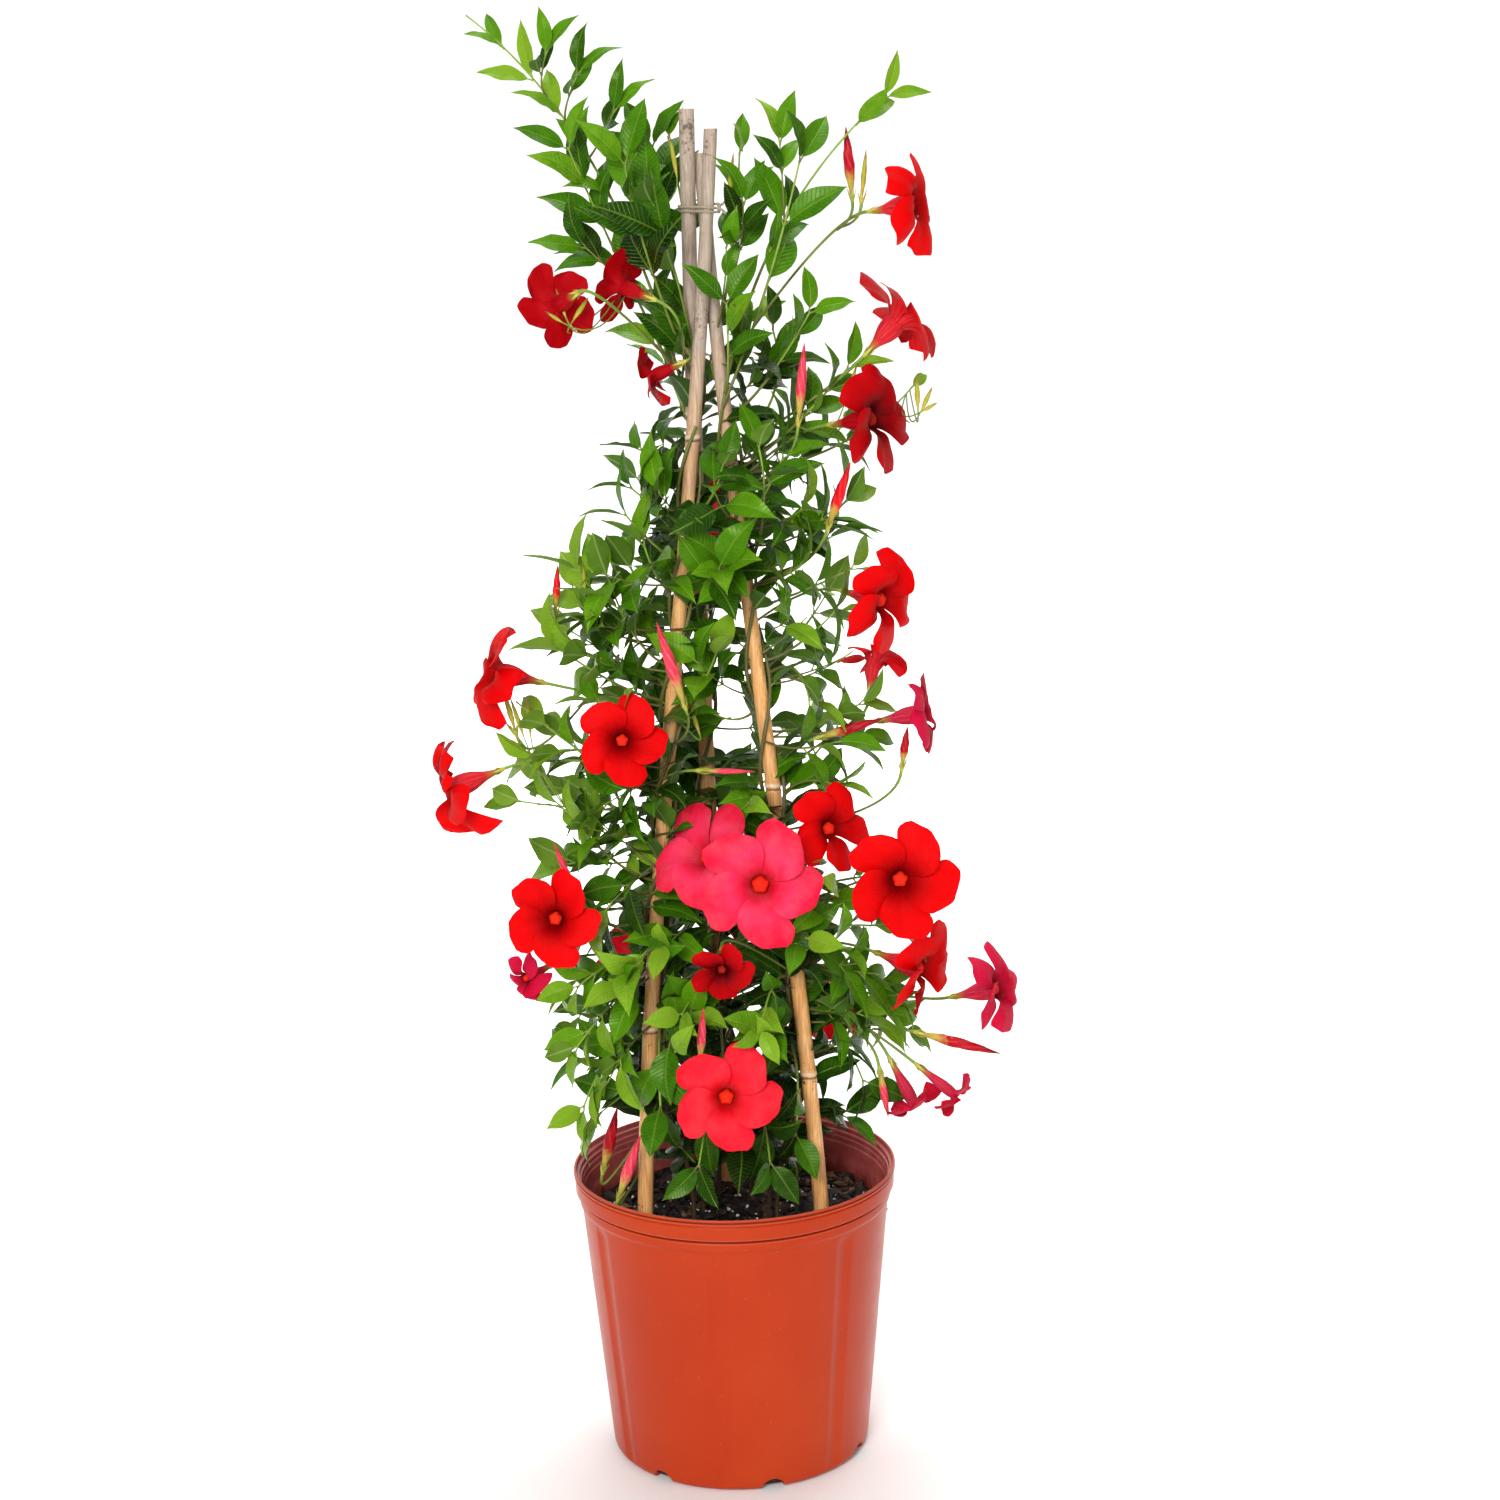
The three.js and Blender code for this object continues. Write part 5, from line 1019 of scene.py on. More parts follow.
# Then the older pairs down each side shoot.
for index, (row, (name, route, bend, reach)) in enumerate(zip(SHOOTS, shoots)):
    pairs, length, last = *row[4:6], (row[6] if len(row) > 6 else LAST_PAIR)
    fresh = 0.2 * ((name, row[1]) in FRESH)
    for pair in range(pairs - 1, -2 if reach > 90 else -1, -1):
        for side in (0, 1):
            if (index, pair, side) not in kept:
                share = FIRST_PAIR + (last - FIRST_PAIR) * (pair + 1) / pairs if pair >= 0 else 0.16
                age, size = 1 - max(pair, 0) / (pairs - 1), length * leaf_chance.uniform(0.82, 1.08)
                tone = tone_at(at_share(route, share), age, leaf_chance) + fresh
                try_leaf(name, route, share, pair, side, age, size, tone, leaf_chance)

# Short leafy twigs fill the places between the shoots: what each leaves (a vine at a height, or a
# point on a shoot), its bend and tip, its pairs, leaf length, and how much darker or fresher it is.
TWIGS = [
    ("back_2", (-126, 6, 1140), (-116, 0, 1155), (-102, -5, 1182), 2, 42, 0.05),
    ("back_2", (-98, 8, 1112), (-88, -4, 1124), (-74, -10, 1152), 2, 44, -0.05),
    ("back_2", (-66, -4, 1008), (-84, -16, 1030), (-100, -24, 1046), 2, 46, -0.2),
    ("right_1", (24, 4, 1010), (26, -14, 1030), (28, -20, 1078), 3, 44, -0.05),
    ("right_2", 800, (70, -28, 798), (102, -26, 838), 3, 48, 0),
    ("right_1", 765, (60, -32, 775), (90, -28, 806), 2, 50, -0.05),
    ("right_1", 690, (72, -26, 690), (108, -20, 708), 3, 50, 0.08),
    ("right_2", 705, (50, -30, 720), (72, -34, 742), 2, 46, -0.1),
    ("left_2", 722, (-105, -38, 720), (-122, -36, 778), 3, 44, 0.15),
    ("left_1", 565, (-80, -60, 562), (-112, -75, 578), 3, 46, 0.05),
    ("left_1", 545, (-75, -65, 532), (-96, -82, 516), 2, 54, -0.1),
    ("left_1", 610, (-70, -55, 610), (-96, -62, 596), 2, 50, -0.05),
    ("left_1", 405, (-85, -75, 398), (-102, -90, 366), 3, 46, 0.2),
    ("left_2", 360, (-80, -60, 352), (-112, -72, 330), 2, 48, 0.15),
    ("back_2", 280, (8, -10, 300), (6, -66, 300), 2, 52, -0.25),
    ("right_1", 455, (60, -70, 470), (86, -92, 478), 2, 50, 0),
    ("left_1", 480, (-60, -80, 478), (-74, -104, 470), 2, 50, -0.05),
    ("right_2", (60, -24, 1062), (60, -24, 1090), (58, -22, 1124), 2, 42, 0.05),
    ("back_2", (-140, 5, 1155), (-136, 0, 1172), (-127, -4, 1198), 2, 40, 0.05),
    ("left_1", 735, (-95, -50, 735), (-126, -48, 752), 2, 46, 0.1),
    ("left_2", 640, (-110, -40, 640), (-156, -42, 632), 3, 46, 0.1),
    ("right_1", 1000, (14, -16, 1012), (13, -22, 1044), 2, 38, 0.05),
    ("right_2", 430, (90, -40, 430), (126, -38, 428), 3, 50, -0.05),
]


def on_wood(name, place):
    """The spot on a vine's side shoots that is nearest to a place."""
    spots = [at_share(shoot[1], t) for shoot in shoots if shoot[0] == name for t in np.linspace(0, 1, 40)]
    return min(spots, key=lambda spot: np.linalg.norm(spot - np.array(place)))


for name, origin, bend, tip, pairs, length, shift in TWIGS:
    start = on_wood(name, origin) if isinstance(origin, tuple) else at_height(routes[name], origin)
    route, grown = bent_route(start, bend, tip, 6), 0
    for pair in range(pairs - 1, -1, -1):
        for side in (0, 1):
            share, age = 0.3 + 0.68 * (pair + 1) / pairs, 1 - pair / (pairs - 1)
            tone = tone_at(at_share(route, share), age, leaf_chance) + shift
            size = length * leaf_chance.uniform(0.88, 1.08)
            grown += try_leaf(name, route, share, pair, side, age, size, tone, leaf_chance, 2.6)
    if grown:
        spurs.append((name, (start, bend, tip)))

# The main stems carry pairs of their own, and short spurs with two or three pairs between them.
for name, vine in VINES.items():
    for pair, z in enumerate(np.arange(275 + 11 * leaf_chance.random(), vine["top"] - 8, 31)):
        route = np.array([stem_point(vine, z - 8), stem_point(vine, z), stem_point(vine, z + 8)])
        for side in (0, 1):
            tone = tone_at(route[1], 0.9, leaf_chance)
            try_leaf(name, route, 0.5, pair, side, 0.95, leaf_chance.uniform(44, 60), tone, leaf_chance)
    for pair, z in enumerate(np.arange(244 + 8 * leaf_chance.random(), 620, 22)):
        route = np.array([stem_point(vine, z - 8), stem_point(vine, z), stem_point(vine, z + 8)])
        for side in (0, 1):
            # These leaves close on the stems are painted darker still, as shade inside the plant.
            tone = tone_at(route[1], 1.0, leaf_chance) - 0.12
            try_leaf(name, route, 0.5, pair, side, 0.8, leaf_chance.uniform(40, 54), tone, leaf_chance, 2.6)
    for z in np.arange(300 + 20 * leaf_chance.random(), vine["top"] - 20, 46):
        start = stem_point(vine, z)
        heading = math.atan2(start[1], start[0]) + leaf_chance.gauss(0, 0.75)
        reach = leaf_chance.uniform(45, 85) * (0.75 if z > 720 else 1)
        tip = start + (reach * math.cos(heading), reach * math.sin(heading), leaf_chance.uniform(-5, 40))
        bend = (start + tip) / 2 - (0, 0, leaf_chance.uniform(0, 16))
        route, pairs = bent_route(start, bend, tip, 6), leaf_chance.choice((2, 3))
        if min(hard.find_nearest(Vector(p))[3] for p in route[2:]) < 4:
            continue
        grown = 0
        for pair in range(pairs - 1, -1, -1):
            for side in (0, 1):
                share, age = 0.35 + 0.63 * (pair + 1) / pairs - 0.02, 1 - pair / (pairs - 1)
                size, tone = leaf_chance.uniform(38, 54), tone_at(at_share(route, share), age, leaf_chance)
                grown += try_leaf(name, route, share, pair, side, age, size, tone, leaf_chance)
        if grown:
            spurs.append((name, (start, bend, tip)))


def leaf_template():
    """Rows and columns of a blade's points, its faces, and the kind of each face."""
    rows, columns = LAST
    upper = {(i, j): i * (columns + 1) + j for i in range(rows + 1) for j in range(columns + 1)}
    grid = list(upper)
    lower = dict(upper)
    for i in range(1, rows):
        for j in range(1, columns):
            lower[i, j] = len(grid)
            grid.append((i, j))
    faces, kinds = [], []
    for i in range(rows):
        for j in range(columns):
            corners = [(i, j), (i + 1, j), (i + 1, j + 1), (i, j + 1)]
            faces.append([upper[c] for c in corners])
            faces.append([lower[c] for c in reversed(corners)])
            kinds += [0, 1]
    start = len(grid)
    for ring in range(3):
        for k in range(6):
            low, high, m = start + ring * 6, start + ring * 6 + 6, (k + 1) % 6
            faces.append([low + k, low + m, high + m, high + k])
            kinds.append(2)
    for low, turn in ((start, -1), (start + 18, 1)):
        for corners in ((0, 1, 2, 3), (3, 4, 5, 0)):
            faces.append([low + c for c in corners[::turn]])
            kinds.append(2)
    return np.array(grid), len(upper), np.array(faces), kinds


leaf_grid, upper_count, leaf_faces, leaf_kinds = leaf_template()


def leaf_arch(share):
    """Lift of the midrib as a share of the leaf's length."""
    return share * (0.3195 - 0.4695 * share + 0.1 * share * share)


def leaf_points(pose, length, looseness, chance):
    """The points of one leaf in place: blade, underside and petiole."""
    at, x, y, z = pose
    u, v = STATIONS[leaf_grid[:, 0]], ACROSS[leaf_grid[:, 1]]
    share = PETIOLE + (1 - PETIOLE) * u
    slimmer = np.interp(at[2], (840, 900, 1090, 1150), (1, 0.86, 0.84, 0.66))
    broad = LEAF_HALF * chance.uniform(0.94, 1.1) * slimmer
    skew = chance.uniform(-0.06, 0.06) * looseness
    half = broad * OUTLINE[leaf_grid[:, 0]]
    fold, curl = chance.uniform(0.1, 0.34), chance.uniform(0.0, 1.1) * looseness
    wave, phase, pace = chance.uniform(0.004, 0.02), chance.uniform(0, 6.28), chance.uniform(1.6, 2.8)
    twist = chance.uniform(-0.5, 0.5) * looseness
    across = half * v
    lift = leaf_arch(share) - 0.5 * fold * broad * OUTLINE[leaf_grid[:, 0]] * 0.6 + fold * np.abs(across)
    lift += wave * np.sin(2 * math.pi * pace * u + phase + np.sign(v)) * v ** 2
    lift -= curl * np.maximum(share - 0.55, 0) ** 2
    on_midrib = leaf_grid[upper_count:, 1] == LAST[1] // 2
    lift[upper_count:] -= LEAF_THICKNESS / length * (1.0 + 0.6 * on_midrib)
    off_rib = lift - leaf_arch(share)
    side = across * np.cos(twist * share) - off_rib * np.sin(twist * share)
    lift = leaf_arch(share) + across * np.sin(twist * share) + off_rib * np.cos(twist * share)
    side += skew * np.sin(math.pi * share)
    local = [np.stack([share, side, lift], axis=1) * length]
    for ring, radius in ((0.0, 0.95), (0.05, 0.75), (0.1, 0.7), (0.17, 0.45)):
        turn = np.arange(6) * math.pi / 3
        height = length * leaf_arch(ring) - (0.45 if ring > 0.08 else 0.1)
        middle = length * skew * math.sin(math.pi * ring)
        local.append(np.stack([np.full(6, ring * length), middle + radius * np.cos(turn),
                               height + radius * np.sin(turn)], axis=1))
    return at + np.concatenate(local) @ np.array([x, y, z])


# Upper side: a thick waxy cuticle, so a clear gloss over deep green; the midrib and its side veins
# are paler and pressed in. Light from behind shows through as yellow-green.
leaf_upper, tree, out = start_material("leaf_cuticle_upper")
where = add(tree, "TexCoord").outputs["Object"]
along = add(tree, "Attribute", attribute_name="along").outputs["Fac"]
across = add(tree, "Attribute", attribute_name="across").outputs["Fac"]
tone = add(tree, "Attribute", attribute_name="tone").outputs["Fac"]
blotch = add(tree, "TexNoise", {"Vector": where, "Scale": 90, "Detail": 4, "Roughness": 0.6})
cloudy = add(tree, "Math", {0: blotch, 1: 0.34, 2: tone}, operation="MULTIPLY_ADD")
# The tone mark carries age, and also painted shade low down and deep inside and painted light on the outer
# leaves.
shade = add(tree, "ValToRGB", {"Fac": cloudy}, [
    (0.12, "#0b1e07"), (0.36, "#1d4308"), (0.6, "#3e7606"), (0.84, "#5c940c"), (1.0, "#83ac26")])
off_middle = add(tree, "Math", {0: across}, operation="ABSOLUTE")
rib = add(tree, "MapRange", {"Value": off_middle, 1: 0.02, 2: 0.09, 3: 1.0, 4: 0.0})
slant = add(tree, "Math", {0: off_middle, 1: -2.2, 2: 0.0}, operation="MULTIPLY_ADD")
march = add(tree, "Math", {0: along, 1: 13.0, 2: slant}, operation="MULTIPLY_ADD")
nearness = add(tree, "Math", {0: march, 1: 0.5}, operation="PINGPONG")
vein = add(tree, "MapRange", {"Value": nearness, 1: 0.02, 2: 0.13, 3: 0.55, 4: 0.0})
veins = add(tree, "Math", {0: rib, 1: vein}, operation="MAXIMUM")
paler = add(tree, "Math", {0: veins, 1: 0.34}, operation="MULTIPLY")
veined = add(tree, "Mix", {"Factor": paler, 6: shade, 7: linear("#95b542")}, data_type="RGBA")
hollow = add(tree, "Math", {0: veins, 1: -1.0, 2: blotch}, operation="MULTIPLY_ADD")
pressed = add(tree, "Bump", {"Height": hollow, "Strength": 0.7, "Distance": 0.0006})
wax = add(tree, "MapRange", {"Value": blotch, 1: 0.3, 2: 0.7, 3: 0.2, 4: 0.36})
cuticle = add(tree, "BsdfPrincipled", {
    "Base Color": veined.outputs[2], "Roughness": wax, "Normal": pressed, "IOR": 1.47,
    "Specular IOR Level": 0.34, "Specular Tint": linear("#cde69a")})
through = add(tree, "BsdfTranslucent", {"Color": linear("#7ba606"), "Normal": pressed})
blade = add(tree, "MixShader", {0: 0.22, 1: cuticle, 2: through})
tree.links.new(blade.outputs[0], out.inputs[0])

# Underside: no gloss, a paler olive, with the midrib standing out.
leaf_under, tree, out = start_material("leaf_underside_matt")
where = add(tree, "TexCoord").outputs["Object"]
across = add(tree, "Attribute", attribute_name="across").outputs["Fac"]
tone = add(tree, "Attribute", attribute_name="tone").outputs["Fac"]
blotch = add(tree, "TexNoise", {"Vector": where, "Scale": 160, "Detail": 4})
# The tone mark carries age, and also painted shade low down and deep inside and painted light on the outer
# leaves.
shade = add(tree, "ValToRGB", {"Fac": tone}, [(0.0, "#35531c"), (0.5, "#557f22"), (1.0, "#84a932")])
off_middle = add(tree, "Math", {0: across}, operation="ABSOLUTE")
rib = add(tree, "MapRange", {"Value": off_middle, 1: 0.02, 2: 0.1, 3: 0.6, 4: 0.0})
ribbed = add(tree, "Mix", {"Factor": rib, 6: shade, 7: linear("#b3cc7c")}, data_type="RGBA")
netting = add(tree, "Bump", {"Height": blotch, "Strength": 0.4, "Distance": 0.0005})
matt = add(tree, "BsdfPrincipled", {
    "Base Color": ribbed.outputs[2], "Roughness": 0.62, "Normal": netting, "IOR": 1.4})
through = add(tree, "BsdfTranslucent", {"Color": linear("#7ea80e"), "Normal": netting})
blade = add(tree, "MixShader", {0: 0.22, 1: matt, 2: through})
tree.links.new(blade.outputs[0], out.inputs[0])

for name in VINES:
    own = [leaf for leaf in leaves if leaf[0] == name]
    points, faces, marks = [], [], {"along": [], "across": [], "tone": [], "youth": []}
    for n, (owner, pose, length, tone, looseness) in enumerate(own):
        blade_points = leaf_points(pose, length, looseness, leaf_chance)
        extra = [0.0] * (len(blade_points) - len(leaf_grid))
        points.append(blade_points)
        faces.append(leaf_faces + n * len(blade_points))
        marks["along"] += [*STATIONS[leaf_grid[:, 0]], *extra]
        marks["across"] += [*(ACROSS[leaf_grid[:, 1]] * OUTLINE[leaf_grid[:, 0]]), *extra]
        # Tone, and the petioles' youth taken from it, carry the painted shade and light of tone_at as well as
        # age.
        marks["tone"] += [tone] * len(blade_points)
        marks["youth"] += [0.45 + 0.5 * tone] * len(blade_points)
    foliage = make_piece("leaves_" + name, np.concatenate(points), np.concatenate(faces).tolist(),
                         [leaf_upper, leaf_under, stem_skin], leaf_kinds * len(own), marks, sharp=70)
    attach(foliage, "root")
    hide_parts("vine_" + name)

for name in VINES:
    points, faces, youths = stem_mesh(name)
    stems = make_piece("stems_" + name, points, faces, [stem_skin], marks={"youth": youths}, sharp=60)
    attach(stems, "root")
    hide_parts("vine_" + name)

# ----------------------------------------------------------
# The calyxes: a short green cup at the end of each stalk, with five narrow pointed sepals that
# clasp the foot of the flower or bud.
def facing(forward):
    """Directions across, up and forward for something that faces a way, its first one level."""
    level = np.array([-forward[1], forward[0], 0.0])
    x = unit(level) if np.linalg.norm(level) > 0.05 else np.array([1.0, 0, 0])
    return np.array([x, np.cross(forward, x), forward])


# A sepal's rings: how far out and up each stands, and half its width.
SEPAL = ((1.5, -3.2, 0.8), (2.3, -1.0, 1.2), (2.9, 1.4, 1.05), (3.5, 3.8, 0.65), (4.4, 6.2, 0.12))

# Sepal: soft yellow-green tissue with a faint bloom of wax, a little red where the sun caught it.
sepal_green, tree, out = start_material("sepal_waxy_yellow_green")
where = add(tree, "TexCoord").outputs["Object"]
flush = add(tree, "TexNoise", {"Vector": where, "Scale": 150, "Detail": 4})
shade = add(tree, "ValToRGB", {"Fac": flush}, [(0.3, "#8fa03c"), (0.55, "#bcbb4c"), (0.78, "#c78a4a")])
grain = add(tree, "Bump", {"Height": flush, "Strength": 0.4, "Distance": 0.0003})
sepal = add(tree, "BsdfPrincipled", {
    "Base Color": shade, "Roughness": 0.48, "Normal": grain, "IOR": 1.42})
tree.links.new(sepal.outputs[0], out.inputs[0])

for name in VINES:
    points, faces = [], []
    for owner, route, bend, foot, forward in stalks.values():
        if owner != name:
            continue
        x, y, z = facing(forward)
        cup = foot - forward * GAP
        path = [cup - z * d for d in (7.5, 5.5, 3.5, 1.8, 0.2)]
        more = sweep(path, (1.0, 1.35, 1.9, 2.25, 2.0), 10, len(points))
        points += more[0]
        faces += more[1]
        for k in range(5):
            angle = 2 * math.pi * k / 5 + 0.3
            out_way = x * math.cos(angle) + y * math.sin(angle)
            beside = y * math.cos(angle) - x * math.sin(angle)
            start = len(points)
            for away, up, wide in SEPAL:
                middle = cup + out_way * away + z * up
                for turn in (0, 1.57, 3.14, 4.71):
                    across = wide * math.cos(turn) * beside
                    points.append(middle + across + 0.3 * wide * math.sin(turn) * out_way)
            for ring in range(4):
                low = start + 4 * ring
                faces += [(low + i, low + (i + 1) % 4, low + 4 + (i + 1) % 4, low + 4 + i) for i in range(4)]
            faces += [(start + 3, start + 2, start + 1, start), tuple(range(start + 16, start + 20))]
    sepals = make_piece("calyxes_" + name, points, faces, [sepal_green], sharp=70)
    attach(sepals, "root")
    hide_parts("vine_" + name)

# ----------------------------------------------------------
# The open flowers: a trumpet whose narrow tube widens into a throat, with five broad petals set
# like the blades of a pinwheel, each lapping over the next, and a cone of anthers in the throat.
THROAT = 0.088  # reach of the throat's mouth, a share of the flower's width
PETAL_ALONG = np.linspace(0, 1, 12) ** 0.9
PETAL_ACROSS = np.linspace(-1, 1, 13)
# How many degrees each side of a petal reaches round, at shares of its length.
PETAL_SPREAD = (((0, 36), (0.2, 39), (0.4, 39.5), (0.6, 37.5), (0.8, 33.5), (0.92, 28.5), (1, 21)),
                ((0, 36), (0.2, 41), (0.4, 41.5), (0.6, 40), (0.8, 38), (0.92, 35.5), (1, 32)))
PETAL_THICKNESS = 0.55
# Depth and reach of the throat and the cone, as shares of the flower's length and width.
INNER_THROAT = ((-0.03, 0.084), (-0.07, 0.078), (-0.12, 0.07), (-0.19, 0.058), (-0.27, 0.036))
# The same for the tube, and millimetres that are added to its radius.
TUBE = ((-0.05, 0.093, 0.4), (-0.15, 0.092, 0.8), (-0.28, 0.084, 1.2), (-0.42, 0.069, 1.5),
        (-0.56, 0.043, 1.9), (-0.7, 0.018, 2.3), (-0.86, 0.004, 2.4), (-1.0, 0.0, 1.9))
ANTHER_CONE = ((-0.24, 0.04), (-0.14, 0.056), (-0.05, 0.064), (0.015, 0.058), (0.06, 0.038), (0.078, 0.007))


def petal_lift(u, v, bend, lap, roll, waves):
    """Height of a petal's blade over the mouth, a share of the width: u runs out along it, v across."""
    height = 0.05 * (1 - math.exp(-u / 0.16)) - lap * v * min(1, 1.6 * u)
    height += (0.03 - 0.05 * abs(v)) * u * abs(v) - 0.012 * math.exp(-(v / 0.22) ** 2) * u
    height -= bend * u * u + 0.11 * max(0, u - 0.6) ** 2
    height += roll * v * u
    return height + sum(size * u ** 1.4 * math.sin(pace * v + phase) for size, pace, phase in waves)


def flower_points(width, length, bend_back, seed):
    """Points, faces, kinds (0 inside, 1 outside, 2 anthers) and marks of one flower at the origin."""
    draws, chance = seeded_draws(seed, 6), random.Random(seed)
    first = math.radians(90 + 18 * (draws[0] - 0.5))
    rows, columns = len(PETAL_ALONG), len(PETAL_ACROSS)
    points, faces, kinds, reaches, acrosses = [], [], [], [], []

    def put(point, reach, across):
        points.append(point)
        reaches.append(reach)
        acrosses.append(across)
        return len(points) - 1

    def put_ring(radius, height, count, reach, lobe=0.0):
        ring = []
        for n in range(count):
            angle = first + 2 * math.pi * n / count
            out_to = radius * (1 + lobe * math.cos(5 * (angle - first)))
            spot = np.array([out_to * math.cos(angle), out_to * math.sin(angle), height])
            ring.append(put(spot, reach, 2 * ((5 * n / count) % 1) - 1))
        return ring

    def face(corners, kind, flip=False):
        faces.append(corners[::-1] if flip else corners)
        kinds.append(kind)

    def join(ring, after, kind, flip=False):
        for n in range(len(ring)):
            m = (n + 1) % len(ring)
            face([ring[n], ring[m], after[m], after[n]], kind, flip)

    # Both faces of all petals start from one ring of points at the mouth of the throat.
    around = 5 * (columns - 1)
    sunk = (0.06 + 0.08 * bend_back) * width
    deep = length - sunk
    mouth_in = put_ring(THROAT * width, -sunk, around, 2 * THROAT)
    mouth_out = put_ring((THROAT + 0.004) * width, -sunk - PETAL_THICKNESS, around, 2 * THROAT)
    full = 1.08 - 0.3 * bend_back + chance.uniform(-0.04, 0.04)
    loose = 0.5 + 2.4 * bend_back
    for k in range(5):
        middle, tilt = first + math.radians(72 * k + 36), 0.5 + draws[1 + k]
        bend = (0.36 * bend_back * tilt + 0.03 * (tilt - 1)) * (1 + chance.gauss(0, 0.1))
        lap, roll = 0.05, chance.gauss(0, 0.07) * loose
        swing, long = chance.gauss(0, 3) * loose, chance.uniform(0.93, 1.03)
        broad = full * chance.uniform(0.94, 1.06)
        waves = [(chance.uniform(0.006, 0.018) * loose, chance.uniform(2, 6), chance.uniform(0, 6.3))
                 for _ in range(2)]
        notch = chance.uniform(0, 6.3)
        grids = ({}, {})
        for i, u in enumerate(PETAL_ALONG):
            for j, v in enumerate(PETAL_ACROSS):
                if i == 0:
                    n = (k * (columns - 1) + j) % around
                    grids[0][i, j], grids[1][i, j] = mouth_in[n], mouth_out[n]
                    continue
                half = 36 + (np.interp(u, *zip(*PETAL_SPREAD[v > 0])) * broad - 36) * min(1, 4 * u)
                rim = 0.5 - (0.25 if v > 0.62 else 0.042) * (v - 0.62) ** 2
                rim = long * rim + 0.005 * math.sin(8 * v + notch) + 0.018 * max(0, 1 - abs(v - 0.667) / 0.3)
                reach = THROAT + (rim - THROAT) * u
                angle = middle + math.radians(half * v + (4 + swing) * u * u)
                out_to = width * reach * (1 - 0.25 * bend_back * reach)
                height = width * petal_lift(u, v, bend, lap, roll, waves) - sunk * math.exp(-(u / 0.2) ** 1.5)
                spot = np.array([out_to * math.cos(angle), out_to * math.sin(angle), height])
                grids[0][i, j] = put(spot, 2 * reach, v)
                rim_point = j in (0, columns - 1) or i == rows - 1
                under = spot - (0, 0, PETAL_THICKNESS)
                grids[1][i, j] = grids[0][i, j] if rim_point else put(under, 2 * reach, v)
        for i in range(rows - 1):
            for j in range(columns - 1):
                for kind, grid in enumerate(grids):
                    corners = [grid[i, j], grid[i + 1, j], grid[i + 1, j + 1], grid[i, j + 1]]
                    face(corners, kind, flip=kind == 1)
        for j in (0, columns - 1):
            face([grids[0][0, j], grids[1][0, j], grids[0][1, j]], 0, flip=j > 0)
    ring = mouth_in
    for depth, share in INNER_THROAT:
        after = put_ring(share * width, depth * deep - sunk, around, 2 * THROAT + 0.4 * depth)
        join(ring, after, 0)
        ring = after
    face(ring, 0)
    ring = mouth_out
    for depth, share, more in TUBE:
        after = put_ring(share * width + more, depth * deep - sunk, around, 2 * THROAT + depth)
        join(ring, after, 1, flip=True)
        ring = after
    face(ring, 1, flip=True)
    ring = put_ring(ANTHER_CONE[0][1] * width, ANTHER_CONE[0][0] * deep - 0.8 * sunk, 20, 0, lobe=0.1)
    face(ring, 2, flip=True)
    for depth, share in ANTHER_CONE[1:]:
        after = put_ring(share * width, depth * deep - 0.8 * sunk, 20, 0, lobe=0.1)
        join(ring, after, 2)
        ring = after
    face(ring, 2)
    return np.array(points), faces, kinds, reaches, acrosses


def petal_inside(name, stops, highlight_and_sheen):
    """The face of a petal: velvet that drinks light, with fine veins that fan out from the throat, pale
    patches painted on as highlights, and the stops' darker ring round the mouth as painted shade.
    """
    material, tree, out = start_material(name)
    where = add(tree, "TexCoord").outputs["Object"]
    reach = add(tree, "Attribute", attribute_name="reach").outputs["Fac"]
    across = add(tree, "Attribute", attribute_name="across").outputs["Fac"]
    fan = add(tree, "CombineXYZ", {0: across, 1: reach})
    squeezed = add(tree, "Mapping", {"Vector": fan, "Scale": (9, 1.3, 1)})
    veins = add(tree, "TexNoise", {"Vector": squeezed, "Scale": 2.2, "Detail": 5, "Roughness": 0.6})
    cloud = add(tree, "TexNoise", {"Vector": where, "Scale": 60, "Detail": 3})
    place = add(tree, "Math", {0: veins, 1: 0.22, 2: reach}, operation="MULTIPLY_ADD")
    shade = add(tree, "ValToRGB", {"Fac": place}, stops)
    # Pale patches in the highlight colour are painted on as highlights.
    lit = add(tree, "MapRange", {"Value": cloud, 1: 0.38, 2: 0.72, 3: 0.0, 4: 0.17})
    soft = add(tree, "Mix", {"Factor": lit, 6: shade, 7: linear(highlight_and_sheen)}, data_type="RGBA")
    furrows = add(tree, "Bump", {"Height": veins, "Strength": 0.55, "Distance": 0.0012})
    velvet = add(tree, "BsdfPrincipled", {
        "Base Color": soft.outputs[2], "Roughness": 0.46, "Normal": furrows, "IOR": 1.36,
        "Specular IOR Level": 0.1, "Sheen Weight": 0.03, "Sheen Roughness": 0.4, "Sheen Tint": linear(highlight_and_sheen)})
    through = add(tree, "BsdfTranslucent", {"Color": soft.outputs[2], "Normal": furrows})
    petal = add(tree, "MixShader", {0: 0.28, 1: velvet, 2: through})
    tree.links.new(petal.outputs[0], out.inputs[0])
    return material


